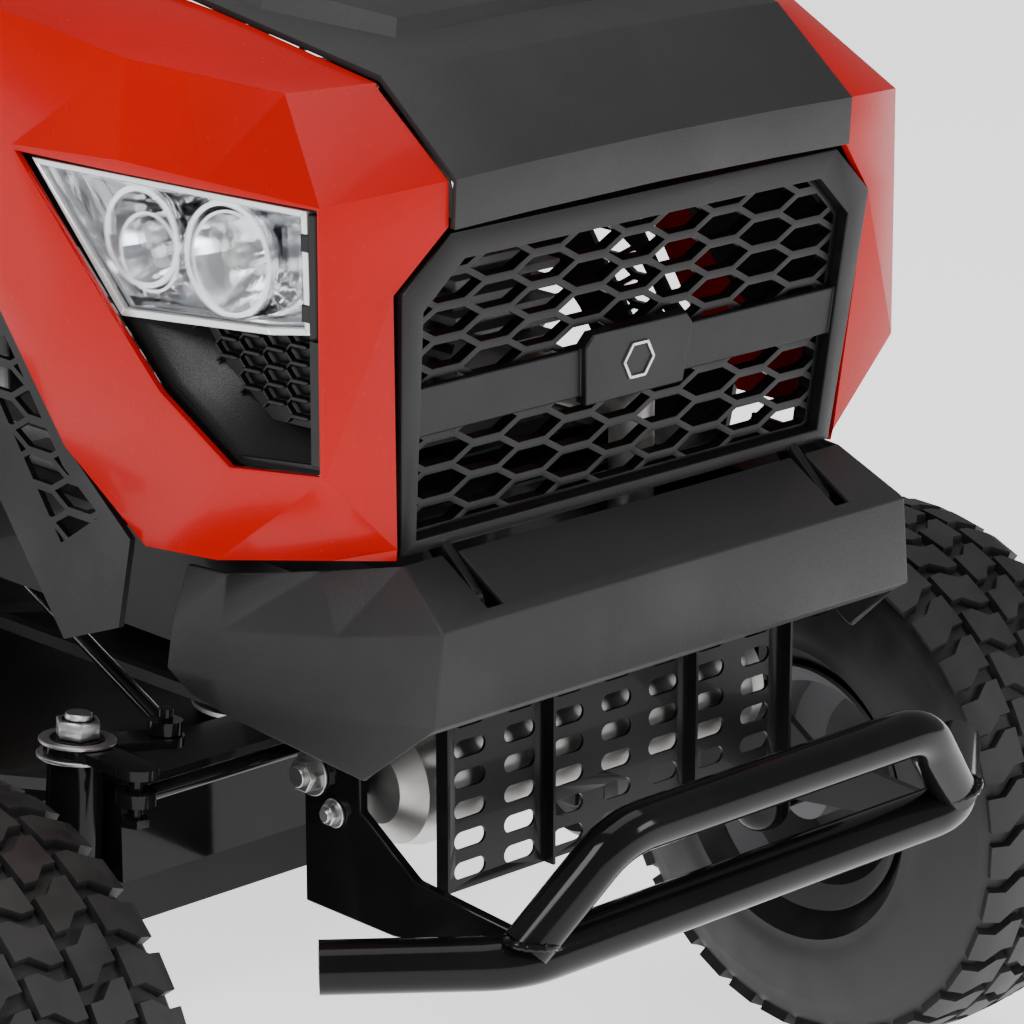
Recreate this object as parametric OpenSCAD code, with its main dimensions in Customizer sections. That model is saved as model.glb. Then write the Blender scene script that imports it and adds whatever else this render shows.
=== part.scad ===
// Riding lawn mower: front-engined garden tractor with a two-blade side-discharge deck.
// Front faces -Y, +X is the operator's left, ground is z = 0.

/* [Wheels] */
// Distance between the front and rear axle centres
wheelbase = 1230; // [1180:10:1500]
// Distance between the centre planes of the front wheels
front_track = 800; // [780:10:960]
// Distance between the centre planes of the rear wheels
rear_track = 740; // [700:10:900]
// Outer diameter of the front tyres
front_tyre_d = 374; // [320:2:450]
// Width of the front tyres
front_tyre_w = 150; // [120:2:180]
// Outer diameter of the rear tyres
rear_tyre_d = 456; // [380:2:550]
// Width of the rear tyres
rear_tyre_w = 216; // [180:2:260]
// Bead diameter of the front rims
front_rim_d = 152; // [120:2:190]
// Bead diameter of the rear rims
rear_rim_d = 203; // [170:2:250]
// Diameter of the front stub axles
stub_d = 19; // [16:1:25]
// Diameter of the rear axle shafts
rear_shaft_d = 25.4; // [19:0.1:32]

/* [Frame] */
// Distance between the centre lines of the frame rails
rail_spacing = 340; // [320:5:360]
// Width of a frame rail's flanges
rail_w = 40; // [30:1:50]
// Height of a frame rail
rail_h = 70; // [50:1:90]
// Plate thickness of the frame rails
rail_t = 4; // [3:0.5:6]
// Height of the rails' lower face above the ground
rail_z = 410; // [405:1:440]
// Diameter of the hitch pin hole
hitch_hole_d = 16; // [12:1:22]

/* [Front axle and steering] */
// Distance between the kingpins at the top of their tubes
kingpin_span = 568; // [540:2:600]
// Inward lean of the kingpins in degrees
kingpin_lean = 5; // [0:0.5:8]
// Diameter of the kingpins
kingpin_d = 20; // [16:1:24]
// Length of every steering arm
arm_r = 56; // [45:1:60]
// Teeth on the steering pinion
pinion_teeth = 12; // [10:1:15]
// Pinion teeth for each tooth that a full sector circle would have, inverted
sector_ratio = 6; // [5:1:7]
// Gear module of the sector and pinion
gear_module = 2.5; // [2:0.1:3]
// Diameter of the steering wheel
steering_wheel_d = 350; // [300:5:400]

/* [Hood] */
// Width of the hood across its lamps
nose_w = 466; // [450:2:520]
// Wall thickness of the hood and body panels
panel_t = 4; // [3:0.5:5]
// Y of the hood's rear edge
hood_rear_y = 760; // [700:5:762]
// Height of the hood's rear edge
hood_rear_z = 862; // [840:2:900]

/* [Mowing deck] */
// Radius swept by each blade
blade_r = 262; // [220:2:280]
// Gap between the two blades' circles
blade_gap = 10; // [6:1:30]
// Clearance between a blade's tip and the deck's skirt
tip_gap = 16; // [10:1:24]
// Height of the deck's skirt
deck_h = 110; // [90:1:120]
// Height of the skirt's lower edge above the ground
cut_z = 84; // [60:1:100]
// Length of the discharge deflector
deflector_l = 130; // [90:2:160]

/* [Seat] */
// Width of the seat
seat_w = 440; // [360:5:480]
// Height of the seat's back rest
back_h = 360; // [300:5:420]

/* [Hidden] */
$fn = 48;

// Clearances
run_gap = 0.05;    // radial gap of a running fit
seat_gap = 0.3;    // gap between pieces that rest on one another
bolt_gap = 0.25;   // radial gap round a bolt

// Colours
red = "#e8200f";
black = "#3b3b3d";
steel_black = "#1b1b1d";
rubber = "#232323";
silver = "#b9bbbd";

// Main stations along Y
front_axle_y = 250;
rear_axle_y = front_axle_y + wheelbase;
deck_y = front_axle_y + 600;
crank_y = front_axle_y + 170;
frame_front_y = 110;
frame_rear_y = rear_axle_y + 210;

// Frame
rail_x = rail_spacing / 2;
rail_in = rail_x - rail_w / 2;
rail_out = rail_x + rail_w / 2;
rail_top = rail_z + rail_h;
web_x = rail_out - rail_t + 1;

// Front axle
beam_h = 62;
beam_d = 50;
beam_z = rail_z - 88;
pivot_d = 20;
hanger_gap = 7;
hanger_t = 5;
kp_x = kingpin_span / 2;
kp_z = beam_z + 48;
kp_tube_d = 34.5;
kp_tube_l = 84;
front_wheel_z = front_tyre_d / 2;
front_wheel_x = front_track / 2;
stud_d = 9;
eye_clear = 1.6;
link_angle = 75;
link_d = 10;

// Steering gear
pinion_r = pinion_teeth * gear_module / 2;
sector_teeth = pinion_teeth * sector_ratio;
sector_r = sector_teeth * gear_module / 2;
mesh_slack = 0.35;
pinion_y = front_axle_y + 450;
sector_x = -(pinion_r + sector_r + mesh_slack);
sector_t = 8;
sector_z = rail_z - 18;
sector_pin_d = 14;
link_z = kp_z + 8;
joint_z = 730;
column_tilt = 38;
column_l = 330;

// Rear wheels and body
rear_wheel_x = rear_track / 2;
rear_wheel_z = rear_tyre_d / 2;
fender_z = rear_tyre_d + 46;
fender_front_y = rear_axle_y - rear_tyre_d / 2 - 66;
fender_rear_y = rear_axle_y + rear_tyre_d / 2 + 14;
fender_out = rear_wheel_x + rear_tyre_w / 2 + 14;
floor_z = 335;

// Deck
spindle_x = blade_r + blade_gap / 2;
lobe_r = blade_r + tip_gap;
deck_t = 4;
deck_top = cut_z + deck_h;
blade_z = cut_z + 22;
deck_belt_z = deck_top + 42;
drive_belt_z = deck_belt_z + 64;
belt_w = 12;
belt_h = 8;
pulley_r = 62;
crank_r = 50;
drive_r = 45;
transaxle_r = 60;
chute_x = spindle_x + lobe_r + 14;
hinge_x = chute_x + 9.5;
deflector_drop = 35;
hinge_rod_r = 4;

// Lift
lift_z = rail_z - 35;
lift_arm = 90;
lift_ys = [deck_y - 120, deck_y + 190];
guide_y = lift_ys[0] - lift_arm;
lift_rod_d = 20;
hanger_x = rail_in - 15;
lift_pin_r = 5;

// Grille plane: leans forward at the top
grille_y = 83;
grille_z = 504.5;
grille_lean = 6.32;
grille_half = [[180, 0], [193, 159.5], [160, 190.7]];
grille_open = [[166, 8.2], [173, 146.9], [144.5, 173.6]];

// Side plane of the hood, through the lamps
side_turn = 6;
nose_x = nose_w / 2;
nose_y = 85;

// Row origin: centre of the bounding box on the ground
left_reach = max(front_wheel_x + front_tyre_w / 2, spindle_x + lobe_r, fender_out);
right_reach = max(left_reach, hinge_x + deflector_l * cos(deflector_drop) + 4);
front_reach = 60;
row_shift = [(right_reach - left_reach) / 2, (front_reach - fender_rear_y) / 2, 0];

module placed() {
  translate(row_shift) children();
}

module both() {
  children();
  mirror([1, 0, 0]) children();
}

// Round bar from p to q
module bar(p, q, d) {
  v = q - p;
  l = norm(v);
  translate(p) rotate([0, acos(v[2] / l), atan2(v[1], v[0])]) cylinder(d = d, h = l);
}

// Bent round bar through a list of points
module bent_bar(points, d) {
  for (i = [1 : len(points) - 1]) bar(points[i - 1], points[i], d);
  if (len(points) > 2)
    for (i = [1 : len(points) - 2]) translate(points[i]) sphere(d = d * 1.01);
}

// Plate in the YZ plane between x0 and x0 + t
module yz_plate(points, x0, t) {
  translate([x0, 0, 0]) rotate([90, 0, 90]) linear_extrude(t) polygon(points);
}

// Turned shape about an axle along X
module turned_x(profile) {
  rotate([0, 90, 0]) rotate_extrude($fn = 96) polygon(profile);
}

// Grid sheets: outer points and their inward offset make one closed wall
function unit(v) = v / max(norm(v), 0.0001);
function grid_normal(g, i, j) =
  let (n = len(g), m = len(g[0]))
  let (a = g[min(i + 1, n - 1)][j] - g[max(i - 1, 0)][j])
  let (b = g[i][min(j + 1, m - 1)] - g[i][max(j - 1, 0)])
  unit(cross(unit(a), unit(b)));
function grid_points(g, t) = concat(
  [for (i = [0 : len(g) - 1]) for (p = g[i]) p],
  [for (i = [0 : len(g) - 1]) for (j = [0 : len(g[0]) - 1]) g[i][j] + t * grid_normal(g, i, j)]
);
function grid_faces(n, m) =
  let (s = n * m)
  concat(
    [for (i = [0 : n - 2]) for (j = [0 : m - 2]) let (a = i * m + j) [a, a + 1, a + m + 1]],
    [for (i = [0 : n - 2]) for (j = [0 : m - 2]) let (a = i * m + j) [a, a + m + 1, a + m]],
    [for (i = [0 : n - 2]) for (j = [0 : m - 2]) let (a = s + i * m + j) [a + m + 1, a + 1, a]],
    [for (i = [0 : n - 2]) for (j = [0 : m - 2]) let (a = s + i * m + j) [a + m, a + m + 1, a]],
    [for (j = [0 : m - 2]) [j + 1, j, s + j]],
    [for (j = [0 : m - 2]) [j + 1, s + j, s + j + 1]],
    [for (j = [0 : m - 2]) let (a = (n - 1) * m + j) [a, a + 1, s + a]],
    [for (j = [0 : m - 2]) let (a = (n - 1) * m + j) [a + 1, s + a + 1, s + a]],
    [for (i = [0 : n - 2]) let (a = i * m) [a, a + m, s + a]],
    [for (i = [0 : n - 2]) let (a = i * m) [a + m, s + a + m, s + a]],
    [for (i = [0 : n - 2]) let (a = i * m + m - 1) [a + m, a, s + a]],
    [for (i = [0 : n - 2]) let (a = i * m + m - 1) [a + m, s + a, s + a + m]]
  );
module sheet(g, t) {
  polyhedron(points = grid_points(g, t), faces = grid_faces(len(g), len(g[0])));
}
function mirrored(row) = [for (p = row) [-p[0], p[1], p[2]]];

// A plane on the left side of the hood: x runs back, y up, z out
module side_plane() {
  translate([nose_x, nose_y, 0]) rotate([90, 0, 90 - side_turn]) children();
}

module grille_plane() {
  translate([0, grille_y, grille_z]) rotate([90 + grille_lean, 0, 0]) children();
}

function hex_outline(h) = concat(h, [for (i = [len(h) - 1 : -1 : 0]) [-h[i][0], h[i][1]]]);

// Elongated hexagon holes in staggered columns
mesh_pitch = [36.4, 19.7];
module mesh_holes(columns, rows) {
  for (c = [-columns : columns])
    for (r = [-rows : rows])
      translate([c * mesh_pitch[0], (r + (c % 2 == 0 ? 0 : 0.5)) * mesh_pitch[1]])
        polygon([[23, 0], [10.4, 7.2], [-10.4, 7.2], [-23, 0], [-10.4, -7.2], [10.4, -7.2]]);
}

// ---------- Frame ----------
module rail() {
  difference() {
    translate([rail_in, frame_front_y, rail_z])
      cube([rail_w, frame_rear_y - frame_front_y, rail_h]);
    translate([rail_in - 1, frame_front_y - 1, rail_z + rail_t])
      cube([rail_w - rail_t + 1, frame_rear_y - frame_front_y + 2, rail_h - 2 * rail_t]);
  }
}

hood_axis = [60, 478];
hood_pin_r = 5;
nose_bar = [rail_w - rail_t + 1, 44];
module hood_post() {
  translate([rail_in, hood_axis[0] - 6, rail_z + 50]) cube([6, 14, hood_axis[1] - rail_z - 46]);
  translate([rail_in - 11, hood_axis[0], hood_axis[1]]) rotate([0, 90, 0])
    cylinder(r = hood_pin_r, h = 14);
}
module frame_nose() {
  translate([rail_in, 36 + seat_gap, rail_z + 16])
    cube([nose_bar[0], frame_front_y - 36 + 30, nose_bar[1]]);
}

module cross_bar(y, z, w, d, h) {
  translate([-w / 2, y, z]) cube([w, d, h]);
}

module axle_hanger(y) {
  difference() {
    union() {
      translate([-web_x, y, rail_z + 6]) cube([2 * web_x, hanger_t, rail_h - 12]);
      translate([-45, y, beam_z - 28]) cube([90, hanger_t, rail_z - beam_z + 60]);
    }
    translate([0, y - 1, beam_z]) rotate([-90, 0, 0])
      cylinder(r = pivot_d / 2 + bolt_gap, h = hanger_t + 2);
  }
}

module lift_lug(y) {
  difference() {
    translate([rail_in, y - 20, lift_z - 20]) cube([6, 40, rail_z - lift_z + 20 + rail_t / 2]);
    translate([rail_in - 1, y, lift_z]) rotate([0, 90, 0])
      cylinder(r = lift_rod_d / 2 + run_gap, h = 8);
  }
}

// Fixed pin that guides the front of the deck up and down
module guide_lug() {
  translate([rail_in, guide_y - 14, lift_z - 16]) cube([6, 28, rail_z - lift_z + 16 + rail_t / 2]);
  translate([hanger_x - 5, guide_y, lift_z]) rotate([0, 90, 0])
    cylinder(r = lift_pin_r, h = rail_in - hanger_x + 8);
}

pedal_y = 790;
pedal_z = rail_z + 30;
pedal_pin_d = 16;
platform_bar_ys = [pedal_y - 30, fender_front_y - 60];
platform_half = 440;

module rail_pair() {
  both() {
    rail();
    frame_nose();
  }
}
module platform_bars() {
  for (y = platform_bar_ys) cross_bar(y, floor_z - 22, 2 * platform_half, 24, 20);
}

// The long members, to which every cross member and lug of frame() is welded
module frame_rails() {
  color(steel_black) placed() {
    rail_pair();
    platform_bars();
  }
}

module side_lugs() {
  hood_post();
  lift_lug(lift_ys[1]);
  guide_lug();
  translate([rail_out - rail_t, pedal_y, pedal_z]) rotate([0, 90, 0])
    cylinder(d = pedal_pin_d, h = 66);
  for (y = platform_bar_ys) translate([rail_in + 6, y, floor_z - 20])
    cube([20, 24, rail_z - floor_z + 20 + rail_t]);
}

module frame() {
  color(steel_black) placed() difference() {
    union() {
      both() side_lugs();
      difference() {
        union() {
          axle_hanger(front_axle_y - beam_d / 2 - hanger_gap - hanger_t);
          axle_hanger(front_axle_y + beam_d / 2 + hanger_gap);
          cross_bar(pinion_y + 60, rail_z + 6, 2 * web_x, 24, 40);
          cross_bar(crank_y + 150, rail_z + rail_t, 2 * web_x, 24, 40);
          cross_bar(rear_axle_y - 250, rail_z - 68, 2 * rail_in + 2, 190, 3);
          both() translate([rail_in, rear_axle_y - 250, rail_z - 68]) cube([3, 190, 72]);
          cross_bar(frame_rear_y - 8, rail_z - 30, 2 * rail_out, 8, rail_h + 30);
          translate([-60, frame_rear_y - 8, rail_z - 36]) cube([120, 40, 6]);
        }
        translate([0, frame_rear_y + 16, rail_z - 40]) cylinder(d = hitch_hole_d, h = 20);
        for (x = [-100, 100]) for (z = [rail_z, rail_z + 50])
          translate([x, frame_rear_y - 10, z]) rotate([-90, 0, 0]) cylinder(d = 9, h = 14);
      }
      sector_pin_plate();
      steering_bearing();
    }
    rail_pair();
    platform_bars();
  }
}

// Plate across the rails that carries the sector's pin and the steering shaft
module sector_pin_plate() {
  plate_z = rail_z + rail_t;
  difference() {
    union() {
      translate([-web_x, pinion_y - 30, plate_z]) cube([2 * web_x, 60, 6]);
      translate([sector_x, pinion_y, sector_z - 10])
        cylinder(d = sector_pin_d, h = plate_z - sector_z + 13);
    }
    translate([0, pinion_y, plate_z - 1]) cylinder(d = shaft_d + 2 * run_gap, h = 8);
  }
}

shaft_d = 18;
module steering_bearing() {
  bearing_z = joint_z - 70;
  difference() {
    union() {
      translate([-20, pinion_y - 20, bearing_z]) cube([40, 40, 14]);
      both() bar([14, pinion_y, bearing_z + 7], [rail_in + 14, pinion_y + 50, rail_top + 3], 12);
    }
    translate([0, pinion_y, bearing_z - 1]) cylinder(d = shaft_d + 2 * run_gap, h = 16);
  }
}

module hex_bolt(p, turn, d, l) {
  translate(p) rotate(turn) {
    cylinder(d = d * 1.8, h = d * 0.65, $fn = 6);
    translate([0, 0, -l]) cylinder(d = d, h = l);
  }
}

module chassis_bolts() {
  color(silver) placed() {
    hanger_front = front_axle_y - beam_d / 2 - hanger_gap - hanger_t;
    hanger_rear = front_axle_y + beam_d / 2 + hanger_gap + hanger_t;
    translate([0, hanger_front - 12, beam_z]) rotate([-90, 0, 0]) {
      cylinder(d = 34, h = 12 - seat_gap, $fn = 6);
      cylinder(d = pivot_d, h = hanger_rear - hanger_front + 12 + 16);
    }
    for (p = [[150, rail_z - 30], [165, rail_z - 62], [140, rail_z - 12]])
      both() translate([0, p[0], p[1]]) rotate([0, 90, 0])
        translate([0, 0, guard_x + guard_plate_t + seat_gap]) cylinder(d = 15, h = 7, $fn = 6);
  }
}

// ---------- Front end ----------
function bumper_half() = [
  [[236, 203, 486], [243, 210, 450], [245, 213, 422], [240, 198, 408]],
  [[232, 173, 486], [234, 178, 450], [236, 180, 422], [234, 172, 400]],
  [[204, 122, 494], [212, 100, 461], [215, 104, 412], [206, 84, 376]],
  [[180, 78, 502], [191.5, 32, 475], [197, 32, 419], [196, 42, 412]]
];
module front_bumper() {
  half = bumper_half();
  g = concat(half, [for (i = [len(half) - 1 : -1 : 0]) mirrored(half[i])]);
  color(black) placed() difference() {
    sheet(g, -panel_t);
    both() translate([rail_in - 12, 40, rail_z + 56]) cube([12, 60, 44]);
  }
}

guard_d = 32;
guard_t = 3;
guard_x = 165;
guard_plate_t = 6;
guard_low = [[-270, 52, 290], [-182, -21, 290], [182, -21, 290], [270, 52, 290]];
guard_hoop = [[-180, -30, 308], [-128, -44, 360], [128, -44, 360], [180, -30, 308]];
guard_sides = 12;

// Tube of flat sides through a list of points, each piece run on to its mitre
module flat_tube(path, d) {
  n = len(path);
  heading = [for (i = [0 : n - 2]) unit(path[i + 1] - path[i])];
  more = [for (i = [0 : n - 1]) (i == 0 || i == n - 1) ? 0
    : d / 2 * tan(acos(heading[i] * heading[i - 1]) / 2)];
  for (i = [0 : n - 2])
    bar(path[i] - heading[i] * more[i], path[i + 1] + heading[i] * more[i + 1], d, $fn = guard_sides);
}

module brush_guard() {
  color(steel_black) placed() {
    difference() {
      flat_tube(guard_low, guard_d);
      both() bar([-274, 55.3, 290], [-228, 17.2, 290], guard_d - 2 * guard_t, $fn = guard_sides);
    }
    flat_tube(guard_hoop, guard_d - 2);
    both() yz_plate([[-10, 300], [-10, 280], [100, 266], [178, 266], [178, rail_z - seat_gap],
                     [128, rail_z - seat_gap], [128, 336], [80, 306]], guard_x, guard_plate_t);
  }
}

muffler_y = 138;
muffler_z = 345;
muffler_r = 42;
muffler_l = 310;
shield_y = 88;
module muffler() {
  profile = [[0, 0], [muffler_r * 0.55, 4], [muffler_r * 0.9, 14], [muffler_r, 28],
             [muffler_r, muffler_l - 28], [muffler_r * 0.9, muffler_l - 14],
             [muffler_r * 0.55, muffler_l - 4], [0, muffler_l]];
  color(silver) placed() {
    translate([-muffler_l / 2, muffler_y, muffler_z]) turned_x(profile);
    bent_bar([[60, muffler_y, muffler_z + 20], [60, muffler_y, rail_top + 60],
              [60, crank_y - 135 - seat_gap, rail_top + 60]], 28);
  }
}

shield_half = 145;
shield_low = 287;
module heat_shield() {
  high = rail_z + 46;
  color(steel_black) placed() {
    translate([0, shield_y + 2, 0]) rotate([90, 0, 0]) linear_extrude(2) difference() {
      union() {
        polygon([[-shield_half, shield_low], [shield_half, shield_low], [shield_half, high],
                 [-shield_half, high]]);
        translate([-rail_in + seat_gap, rail_z + 20])
          square([2 * (rail_in - seat_gap), high - rail_z - 20]);
      }
      for (c = [-3 : 3]) for (r = [0 : 6])
        if (c != 0 || r < 7) translate([c * 40, shield_low + 12 + r * 19]) {
          translate([-7, 0]) circle(d = 11, $fn = 24);
          translate([7, 0]) circle(d = 11, $fn = 24);
          translate([-7, -5.5]) square([14, 11]);
        }
    }
    for (x = [-shield_half, -60, 60, shield_half - 2])
      translate([x, shield_y - 8, shield_low]) cube([2, 9, high - shield_low]);
  }
}

// Vented side panels under the hood's lower edge
panel_line = [[234, 497], [250, 509], [292, 541], [347, 616], [447, 695], [hood_rear_y, 700]];
panel_low = [[hood_rear_y, 600], [470, 600], [380, 520], [300, 420], [247, 440]];
module side_panels() {
  outline = concat(panel_line, panel_low);
  color(black) placed() both() yz_plate_vented(outline);
}
module yz_plate_vented(outline) {
  x0 = nose_x + 16;
  translate([x0, 0, 0]) rotate([90, 0, 90]) linear_extrude(panel_t) difference() {
    polygon(outline);
    intersection() {
      polygon([[262, 505], [296, 528], [352, 602], [452, 680], [hood_rear_y - 16, 684],
               [hood_rear_y - 16, 650], [455, 650], [372, 576], [300, 480]]);
      translate([500, 590]) rotate(0) mesh_holes(8, 8);
    }
  }
  translate([rail_in + 4, hood_rear_y - 60, rail_top + seat_gap]) cube([20, 24, 140]);
  translate([rail_in + 4, hood_rear_y - 60, rail_top + 124]) cube([x0 + panel_t - rail_in - 4, 24, 16]);
  translate([rail_out - 16, 300, rail_top + seat_gap]) cube([x0 - rail_out + 18, 30, 4]);
}

// ---------- Engine ----------
engine_half = 140;
engine_z = rail_top + 4;
module engine_block() {
  color("#8d9093") placed() {
    difference() {
      union() {
        translate([-engine_half, crank_y - 120, engine_z - 4 + seat_gap])
          cube([2 * engine_half, 240, 12]);
        translate([0, crank_y, engine_z]) cylinder(d = 238, h = 130);
        for (s = [-1, 1]) for (i = [0 : 6])
          translate([s * 95 - 45, crank_y - 135 - i * 0, engine_z + 40 + i * 12])
            cube([90, 120, 5]);
        for (s = [-1, 1]) translate([s * 95 - 34, crank_y - 120, engine_z + 30])
          cube([68, 100, 90]);
        both() translate([engine_half - 20, crank_y - 20, rail_top + seat_gap])
          cube([45, 60, 8]);
      }
      translate([0, crank_y, engine_z - 10]) cylinder(r = crank_shaft_d / 2 + run_gap, h = 80);
    }
  }
}
crank_shaft_d = 25.4;

module blower_housing() {
  z0 = engine_z + 130 + seat_gap;
  color(black) placed() {
    difference() {
      union() {
        translate([0, crank_y, z0]) cylinder(d1 = 260, d2 = 236, h = 62);
        translate([-70, crank_y + 20, z0]) cube([150, 130, 70]);
      }
      translate([0, crank_y, z0 - 1]) cylinder(d = 228, h = 58);
      for (a = [0 : 30 : 330]) rotate_about([0, crank_y], a)
        translate([60, crank_y - 5, z0 + 40]) cube([42, 10, 40]);
    }
  }
}
module rotate_about(c, a) {
  translate([c[0], c[1], 0]) rotate(a) translate([-c[0], -c[1], 0]) children();
}

module battery() {
  y0 = rear_axle_y - 230;
  color("#242426") placed() {
    translate([-90, y0, rail_z - 65 + seat_gap]) cube([180, 125, 126]);
    for (x = [-65, 65]) translate([x, y0 + 24, rail_z + 60]) cylinder(d = 15, h = 14);
  }
}

neck_d = 58;
module fuel_tank() {
  y0 = rear_axle_y + 20;
  color("#d8d6cf") placed() {
    difference() {
      translate([-rail_in + 6, y0, rail_z - 20]) cube([2 * rail_in - 12, 150, 98]);
      translate([-rail_in + 10, y0 + 4, rail_z - 16]) cube([2 * rail_in - 20, 142, 90]);
      translate([70, y0 + 90, rail_z + 60]) cylinder(d = 50, h = 40);
    }
    translate([70, y0 + 90, rail_z + 60]) difference() {
      cylinder(d = neck_d, h = fender_z - rail_z - 36);
      translate([0, 0, -1]) cylinder(d = neck_d - 8, h = fender_z - rail_z - 30);
    }
    both() translate([rail_in - 8, y0 + 40, rail_z + rail_t + seat_gap]) cube([16, 60, 6]);
  }
}

module fuel_cap() {
  color(black) placed() translate([70, rear_axle_y + 110, fender_z + 12]) difference() {
    cylinder(d = neck_d + 16, h = 24);
    translate([0, 0, -1]) cylinder(r = neck_d / 2 + run_gap, h = 13 + seat_gap);
  }
}

// ---------- Drive ----------
module transaxle() {
  shaft_r = rear_shaft_d / 2 + run_gap;
  tube_l = rear_wheel_x - rear_tyre_w / 2 + 40;
  color("#77797c") placed() difference() {
    union() {
      translate([-75, rear_axle_y - 80, rear_wheel_z - 60]) cube([150, 160, 110]);
      translate([-tube_l, rear_axle_y, rear_wheel_z]) rotate([0, 90, 0])
        cylinder(d = 56, h = 2 * tube_l);
      both() translate([rail_in + 4, rear_axle_y - 25, rear_wheel_z])
        cube([8, 50, rail_z - rear_wheel_z - seat_gap]);
      translate([0, rear_axle_y - 20, rear_wheel_z]) cylinder(d = 60, h = drive_belt_z - rear_wheel_z - 26);
    }
    translate([0, rear_axle_y - 20, drive_belt_z - 62]) cylinder(r = input_d / 2 + run_gap, h = 60);
    translate([-tube_l - 1, rear_axle_y, rear_wheel_z]) rotate([0, 90, 0])
      cylinder(r = shaft_r, h = 2 * tube_l + 2);
  }
}
input_d = 17;

// V pulley turned about Z with its groove's middle at z = 0
module pulley(r, bore_r) {
  depth = belt_h + 3;
  half = belt_w / 2 + 0.6;
  rotate_extrude($fn = 64) polygon([
    [bore_r, -half - 3], [r + 2, -half - 3], [r + 2, -half], [r - depth, -half + 2.2],
    [r - depth, half - 2.2], [r + 2, half], [r + 2, half + 3], [bore_r, half + 3]]);
}

// V belt round a hull of circles [x, y, r]
module belt(circles) {
  half = belt_w / 2;
  linear_extrude(belt_w, center = true) difference() {
    hull() for (c = circles) translate([c[0], c[1]]) circle(r = c[2], $fn = 48);
    hull() for (c = circles) translate([c[0], c[1]]) circle(r = c[2] - belt_h, $fn = 48);
  }
}

belt_fit = 3.2;
module drive_belt() {
  color(rubber) placed() translate([0, 0, drive_belt_z])
    slim_belt([[0, crank_y, drive_r], [0, rear_axle_y - 20, transaxle_r]]);
}
// Belts are narrower than their grooves by the running gap of the flanks
module slim_belt(circles) {
  linear_extrude(belt_w - 3.6, center = true) difference() {
    hull() for (c = circles) translate([c[0], c[1]]) circle(r = c[2], $fn = 48);
    hull() for (c = circles) translate([c[0], c[1]]) circle(r = c[2] - belt_h, $fn = 48);
  }
}
module deck_belt() {
  color(rubber) placed() translate([0, 0, deck_belt_z])
    slim_belt([[0, crank_y, crank_r], [spindle_x, deck_y, pulley_r], [-spindle_x, deck_y, pulley_r]]);
}

module crank_pulley() {
  low = deck_belt_z - 26;
  color("#55585b") placed() translate([0, crank_y, 0]) {
    translate([0, 0, drive_belt_z]) pulley(drive_r, crank_shaft_d / 2 - 1);
    translate([0, 0, deck_belt_z]) pulley(crank_r, crank_shaft_d / 2 - 1);
    translate([0, 0, deck_belt_z + 6]) cylinder(d = 56, h = drive_belt_z - deck_belt_z - 12);
    translate([0, 0, low]) cylinder(d = crank_shaft_d, h = engine_z + 50 - low);
  }
}

module transaxle_pulley() {
  color("#55585b") placed() translate([0, rear_axle_y - 20, drive_belt_z]) {
    pulley(transaxle_r, input_d / 2 - 1);
    translate([0, 0, -60]) cylinder(d = input_d, h = 74);
  }
}

// ---------- Dash, fender, platforms ----------
dash_top = 905;
module dash_block(inset) {
  foot = rail_in + 28;
  hull() {
    translate([-foot + inset, hood_rear_y + 12 + inset, rail_top + seat_gap])
      cube([2 * (foot - inset), 96 - 2 * inset, 1]);
    translate([-215 + inset, hood_rear_y + 6 + inset, 790]) cube([430 - 2 * inset, 120 - 2 * inset, 1]);
    translate([-215 + inset, hood_rear_y + 6 + inset, dash_top - 20 - inset]) cube([430 - 2 * inset, 110 - 2 * inset, 1]);
    translate([-190 + inset, hood_rear_y + 26 + inset, dash_top - inset]) cube([380 - 2 * inset, 84 - 2 * inset, 1]);
  }
}
module column_axis() {
  translate([0, pinion_y, joint_z]) rotate([-column_tilt, 0, 0]) children();
}
throttle = [-120, hood_rear_y + 70, dash_top - 6];
key = [140, hood_rear_y + 70, dash_top];
pto = [-165, hood_rear_y + 76, dash_top];
module dashboard() {
  color(black) placed() difference() {
    dash_block(0);
    difference() {
      dash_block(panel_t);
      translate([throttle[0] - 4, throttle[1] - 20, throttle[2] - 26]) cube([3.7, 40, 30]);
    }
    translate([-rail_in, hood_rear_y + 12 + panel_t, rail_top - 1])
      cube([2 * rail_in, 96 - 2 * panel_t, 8]);
    column_axis() cylinder(d = 40, h = column_l);
    translate([throttle[0] - seat_gap, throttle[1] - 34, throttle[2] - 20]) cube([9, 68, 60]);
    translate([key[0], key[1], key[2] - 20]) cylinder(r = 8 + run_gap, h = 40);
    translate([pto[0], pto[1], pto[2] - 20]) cylinder(r = 6 + run_gap, h = 40);
    translate([-120, hood_rear_y - 5, 600]) cube([240, 22, 240]);
  }
}

// Closed band of wall t under a path of [y, z] points
function below(p, q) = unit([q[1] - p[1], p[0] - q[0]]);
function band_in(path, t) = [for (i = [0 : len(path) - 1])
  let (n0 = i == 0 ? below(path[0], path[1]) : below(path[i - 1], path[i]))
  let (n1 = i == len(path) - 1 ? n0 : below(path[i], path[i + 1]))
  let (n = unit(n0 + n1))
  path[i] + n * t / (n * n1)];
function backwards(v) = [for (i = [len(v) - 1 : -1 : 0]) v[i]];

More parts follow.
